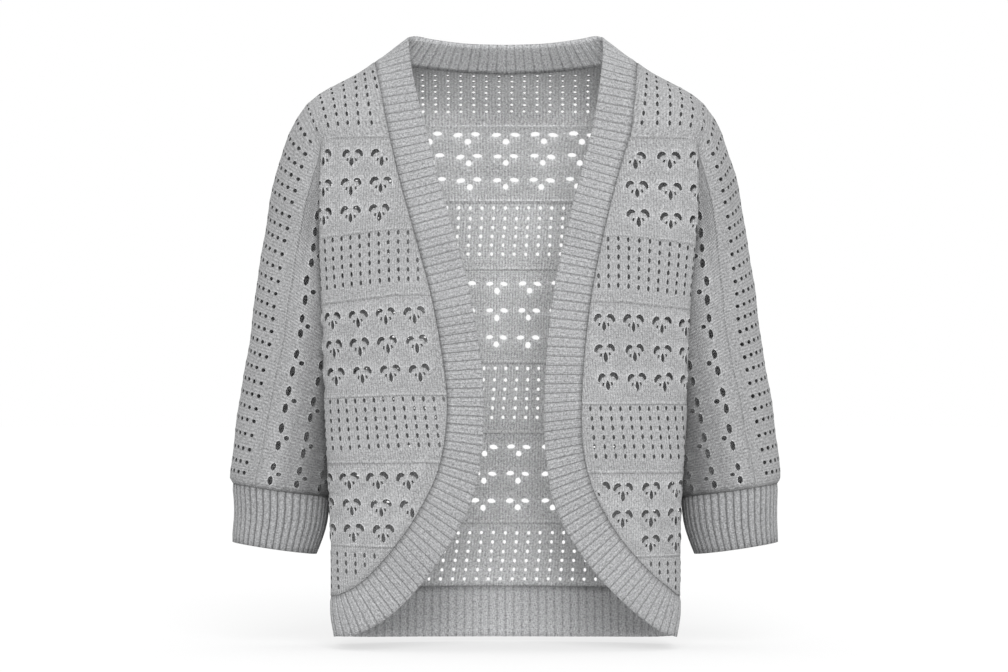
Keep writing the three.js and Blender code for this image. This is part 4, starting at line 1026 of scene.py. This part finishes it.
class Nodes:
    """Short way to write a material's node tree."""

    def __init__(self, name):
        self.material = bpy.data.materials.new(name)
        self.material.use_nodes = True
        self.tree = self.material.node_tree
        self.tree.nodes.clear()

    def put(self, value, socket):
        if isinstance(value, bpy.types.NodeSocket):
            self.tree.links.new(value, socket)
        else:
            socket.default_value = value

    def node(self, kind, inputs=(), **settings):
        made = self.tree.nodes.new(kind)
        for key, value in settings.items():
            setattr(made, key, value)
        for key, value in dict(inputs).items():
            self.put(value, made.inputs[key])
        return made

    def math(self, operation, *values, clamp=False):
        return self.node("ShaderNodeMath", enumerate(values), operation=operation, use_clamp=clamp).outputs[0]

    def add(self, a, b):
        return self.math("ADD", a, b)

    def times(self, a, b):
        return self.math("MULTIPLY", a, b)

    def wave(self, value):
        return self.math("SINE", value)

    def value(self, name):
        return self.node("ShaderNodeAttribute", attribute_name=name).outputs["Fac"]

    def noise(self, vector, scale, detail=2.0, roughness=0.5):
        inputs = {"Vector": vector, "Scale": scale, "Detail": detail, "Roughness": roughness}
        return self.node("ShaderNodeTexNoise", inputs).outputs["Fac"]

    def stretch(self, vector, x, y):
        return self.node("ShaderNodeVectorMath", {0: vector, 1: (x, y, 1.0)}, operation="MULTIPLY").outputs[0]

    def spread(self, value, low, high, to_low, to_high):
        inputs = {"Value": value, "From Min": low, "From Max": high, "To Min": to_low, "To Max": to_high}
        return self.node("ShaderNodeMapRange", inputs).outputs["Result"]

    def mottle(self, noise, gain):
        """A noise about 0, up to 'gain' either way."""
        return self.spread(noise, 0.3, 0.7, -gain, gain)

    def split(self, vector):
        made = self.node("ShaderNodeSeparateXYZ", {"Vector": vector})
        return made.outputs["X"], made.outputs["Y"]

    def knit(self):
        """Place on the knitting, in millimetres across and down."""
        return self.node("ShaderNodeUVMap", uv_map="knit").outputs[0]

    def shaded(self, shade, gains):
        """The shade made lighter or darker where each value is high."""
        for value, gain in gains:
            shade = self.times(shade, self.add(1.0, self.times(value, gain)))
        return shade

    def raised(self, height, gains):
        for value, gain in gains:
            height = self.add(height, self.times(value, gain))
        return height


def yarn(nodes, knit, base):
    """Shade of heathered cotton yarn: light and dark fibres, mixed along the wales."""
    fibres = nodes.noise(nodes.stretch(knit, 0.66, 0.27), 1.0, 2.0, 0.7)
    specks = nodes.noise(nodes.stretch(knit, 0.5, 0.6), 1.1, 1.0, 0.6)
    cloud = nodes.noise(nodes.node("ShaderNodeTexCoord").outputs["Object"], 14.0, 2.0)
    tone = nodes.add(nodes.mottle(fibres, 0.31), nodes.mottle(specks, 0.27))
    tone = nodes.add(tone, nodes.mottle(cloud, 0.05))
    return nodes.times(nodes.add(tone, 1.0), base)


def stitches(nodes, knit, wale):
    """Height of the small V stitches: each wale is a column of Vs."""
    u, v = nodes.split(knit)
    across = nodes.math("DIVIDE", u, wale)
    fold = nodes.math("PINGPONG", across, 0.5)
    slanted = nodes.add(nodes.math("DIVIDE", v, COURSE), nodes.times(fold, 1.1))
    rows, ropes = (nodes.wave(nodes.times(value, 2 * math.pi)) for value in (slanted, across))
    return nodes.add(nodes.times(rows, 0.5), nodes.times(ropes, 0.5))


def finish_material(nodes, shade, tint, height, strength):
    """Grey cloth colour from a shade value, with its bump and a soft sheen."""
    parts = {name: nodes.times(shade, share) for name, share in zip(("Red", "Green", "Blue"), tint)}
    colour = nodes.node("ShaderNodeCombineColor", parts)
    bump = nodes.node("ShaderNodeBump", {"Height": height, "Strength": strength, "Distance": 0.001})
    surface = nodes.node("ShaderNodeBsdfPrincipled", {
        "Base Color": colour.outputs[0], "Roughness": 0.92, "Normal": bump.outputs[0],
        "Sheen Weight": 0.12, "Sheen Roughness": 0.6, "Specular IOR Level": 0.15})
    nodes.node("ShaderNodeOutputMaterial", {"Surface": surface.outputs[0]})
    return nodes.material


def nearest_ridge(nodes, down, offset, half):
    """1 on the line 'offset' millimetres below each purl ridge, and 0 from 'half' millimetres away."""
    gap = None
    for row in RIDGES:
        away = nodes.math("ABSOLUTE", nodes.math("SUBTRACT", down, row * ROW + offset))
        gap = away if gap is None else nodes.math("MINIMUM", gap, away)
    return nodes.math("SUBTRACT", 1.0, nodes.math("DIVIDE", gap, half), clamp=True)


def lace_material(name, base, rim_light_gain, gap_shade_gain=0.0, shade_behind=0.0):
    nodes = Nodes(name)
    knit = nodes.knit()
    rim, gap_shade, front_shade = (nodes.value(key) for key in ("rim", "gap_shade", "front_shade"))
    u, v = nodes.split(knit)
    wobble = nodes.math("SUBTRACT", nodes.noise(nodes.stretch(knit, 0.2, 0.05), 1.0), 0.5)
    down = nodes.add(v, nodes.times(wobble, 1.2))
    # Each purl ridge is raised and gets a painted highlight; 2 mm below it a dip gets a painted shadow,
    # broken into dashes.
    ridge_bump_and_highlight = nearest_ridge(nodes, down, 0.0, 1.5)
    beats = nodes.spread(nodes.wave(nodes.times(u, 2.4)), -0.3, 0.6, 0.35, 1.0)
    ridge_dip_and_shadow = nodes.times(nearest_ridge(nodes, down, 2.0, 1.2), beats)
    wales = nodes.wave(nodes.times(u, 2 * math.pi / WALE))
    shade = nodes.shaded(yarn(nodes, knit, base), [
        # Painted highlight round the holes outside and painted light through the cloth round them inside;
        # painted shade between body and sleeve and where a front hides the inside.
        (rim, rim_light_gain), (gap_shade, -gap_shade_gain), (front_shade, -shade_behind),
        # Painted highlight on the purl ridges, painted shadow below them, and painted light on the wales with
        # painted shade in the valleys between them.
        (ridge_bump_and_highlight, 0.22), (ridge_dip_and_shadow, -0.42), (wales, 0.09)])
    fuzz = nodes.noise(nodes.stretch(knit, 1.0, 0.6), 1.1, 2.0)
    height = nodes.raised(nodes.times(stitches(nodes, knit, WALE), 0.42), [
        (fuzz, 0.5), (ridge_bump_and_highlight, 1.0), (ridge_dip_and_shadow, -0.7), (rim, 0.8)])
    return finish_material(nodes, shade, LACE_TINT, height, 0.85)


def rib_material(name, base, dark, sharp=3.2, join_gain=0.28):
    nodes = Nodes(name)
    knit = nodes.knit()
    groove_shade, minor_groove_shade, edge, join = (nodes.value(key) for key in ("groove_shade", "minor_groove_shade", "edge", "join"))
    # Painted shade in the grooves between ribs and in the faint middle groove, painted highlight on the
    # rolled free edge.
    shade = nodes.shaded(yarn(nodes, knit, base), [
        (nodes.math("POWER", groove_shade, sharp), -dark), (minor_groove_shade, -0.28), (edge, 0.10), (join, -join_gain)])
    fuzz = nodes.noise(knit, 1.2, 2.0)
    height = nodes.raised(nodes.times(stitches(nodes, knit, RIB_WALE), 0.45), [(fuzz, 0.5)])
    return finish_material(nodes, shade, RIB_TINT, height, 0.7)


# ------------------------------------------------------------------ the cardigan
# Each inside copy is the same yarn as its outside: painted lighter for the pointelle, band and hem, painted
# darker for the cuffs.
LACE = [lace_material("pointelle_outside", 0.266, 0.75, 0.5),
        lace_material("pointelle_inside_painted_light_and_shade", 0.435, 0.5, 0.0, 0.4),
        # painted shade: the walls of the holes and the cut edges are near black
        lace_material("pointelle_hole_wall_shade", 0.06, 0.0)]
CUFF_RIB = [rib_material("cuff_rib_outside", 0.262, 0.78, 1.6, 0.14),
            rib_material("cuff_rib_inside_painted_shade", 0.225, 0.5)]
BAND_RIB = [rib_material("band_rib_outside", 0.295, 0.58),
            rib_material("band_rib_inside_painted_light", 0.43, 0.42, 3.2, 0.08)]
HEM_RIB = [rib_material("hem_rib_outside", 0.25, 0.4), rib_material("hem_rib_inside_painted_light", 0.41, 0.34)]

fronts = {side: front_grids(side) for side in ("left", "right")}
back = back_grids(fronts["left"])
across = steps(7)
bands = {side: band_grid(side, fronts[side], back, across) for side in fronts}
hems = {side: hem_grid(back, bands[side], across) for side in fronts}
cuff = cuff_grid(fronts["left"], back, across)

pieces, boxes = {}, []
for side, grids in fronts.items():
    pieces["front_" + side], found = lace_panel("lace_front_" + side, front_charts(side, grids), side)
    boxes += found
pieces["back"], _ = lace_panel("lace_back", back_charts(back), "back", np.array(boxes).transpose(1, 0, 2))
band, hem = both_halves(bands["left"], bands["right"]), both_halves(hems["left"], hems["right"])
pieces["front_band"] = ribbed("band_ribbing", band, 9.3, BAND_RIB, 1.3, -1, second=0.45)
pieces["hem_rib"] = ribbed("hem_ribbing", hem, 8.7, HEM_RIB, 1.5, 1)
pieces["cuff_left"] = ribbed("cuff_ribbing_left", cuff, 7.3, CUFF_RIB, 1.4, 1, closed=True)
pieces["cuff_right"] = ribbed("cuff_ribbing_right", cuff * MIRROR, 7.3, CUFF_RIB, 1.4, -1, closed=True)

# What each piece was cut to, in metres: width and length, the area where it isn't a rectangle,
# and the pieces that it hangs from.
CUTS = {
    "front_left": ((0.55, 0.57), 0.137, ["lace_back"]),
    "front_right": ((0.56, 0.57), 0.143, ["lace_back"]),
    "back": ((1.27, 0.57), 0.358, ["band_ribbing"]),
    "front_band": ((0.040, 1.73), None, ["lace_back"]),
    "hem_rib": ((0.0505, 0.468), None, ["lace_back"]),
    "cuff_left": ((0.318, 0.062), 0.0181, ["lace_back", "lace_front_left"]),
    "cuff_right": ((0.318, 0.062), 0.0181, ["lace_back", "lace_front_right"]),
}
for node, obj in pieces.items():
    cut, area, holders = CUTS[node]
    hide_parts(node)
    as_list(holders)

# ------------------------------------------------------------------ stage, light and camera


def add_floor():
    nodes = Nodes("floor")
    white = nodes.node("ShaderNodeEmission", {"Color": (1, 1, 1, 1), "Strength": 0.62})
    matt = nodes.node("ShaderNodeBsdfDiffuse", {"Color": (0.3, 0.3, 0.3, 1)})
    both = nodes.node("ShaderNodeAddShader", {0: white.outputs[0], 1: matt.outputs[0]})
    nodes.node("ShaderNodeOutputMaterial", {"Surface": both.outputs[0]})
    mesh = bpy.data.meshes.new("floor")
    corners = [(x * FLOOR_REACH, y * FLOOR_REACH, FLOOR_Z) for x, y in ((-1, -1), (1, -1), (1, 1), (-1, 1))]
    mesh.from_pydata(corners, [], [(0, 1, 2, 3)])
    mesh.materials.append(nodes.material)
    link("floor", mesh)


def add_world():
    world = bpy.data.worlds.new("studio")
    world.use_nodes = True
    background = world.node_tree.nodes["Background"]
    background.inputs["Color"].default_value = (1, 1, 1, 1)
    background.inputs["Strength"].default_value = 1.0
    bpy.context.scene.world = world


def add_sun(place, strength, spread):
    """A soft light that shines from 'place' towards the origin, 'spread' degrees wide."""
    data = bpy.data.lights.new("key", "SUN")
    data.energy, data.angle = strength, math.radians(spread)
    link("key", data).rotation_euler = (-Vector(place)).to_track_quat("-Z", "Y").to_euler()


def add_camera():
    data = bpy.data.cameras.new("camera")
    data.sensor_width, data.lens = 36, 172.8
    data.clip_start, data.clip_end = 0.1, 60
    camera = link("camera", data)
    camera.location = (CAMERA_X * MM, -DISTANCE * MM, LEVEL * MM)
    camera.rotation_euler = (math.pi / 2, 0, 0)
    bpy.context.scene.camera = camera


add_floor()
add_world()
add_sun((0.12, -2.2, 1.0), 2.8, 30)
add_camera()
bpy.context.scene.view_settings.view_transform = "Standard"
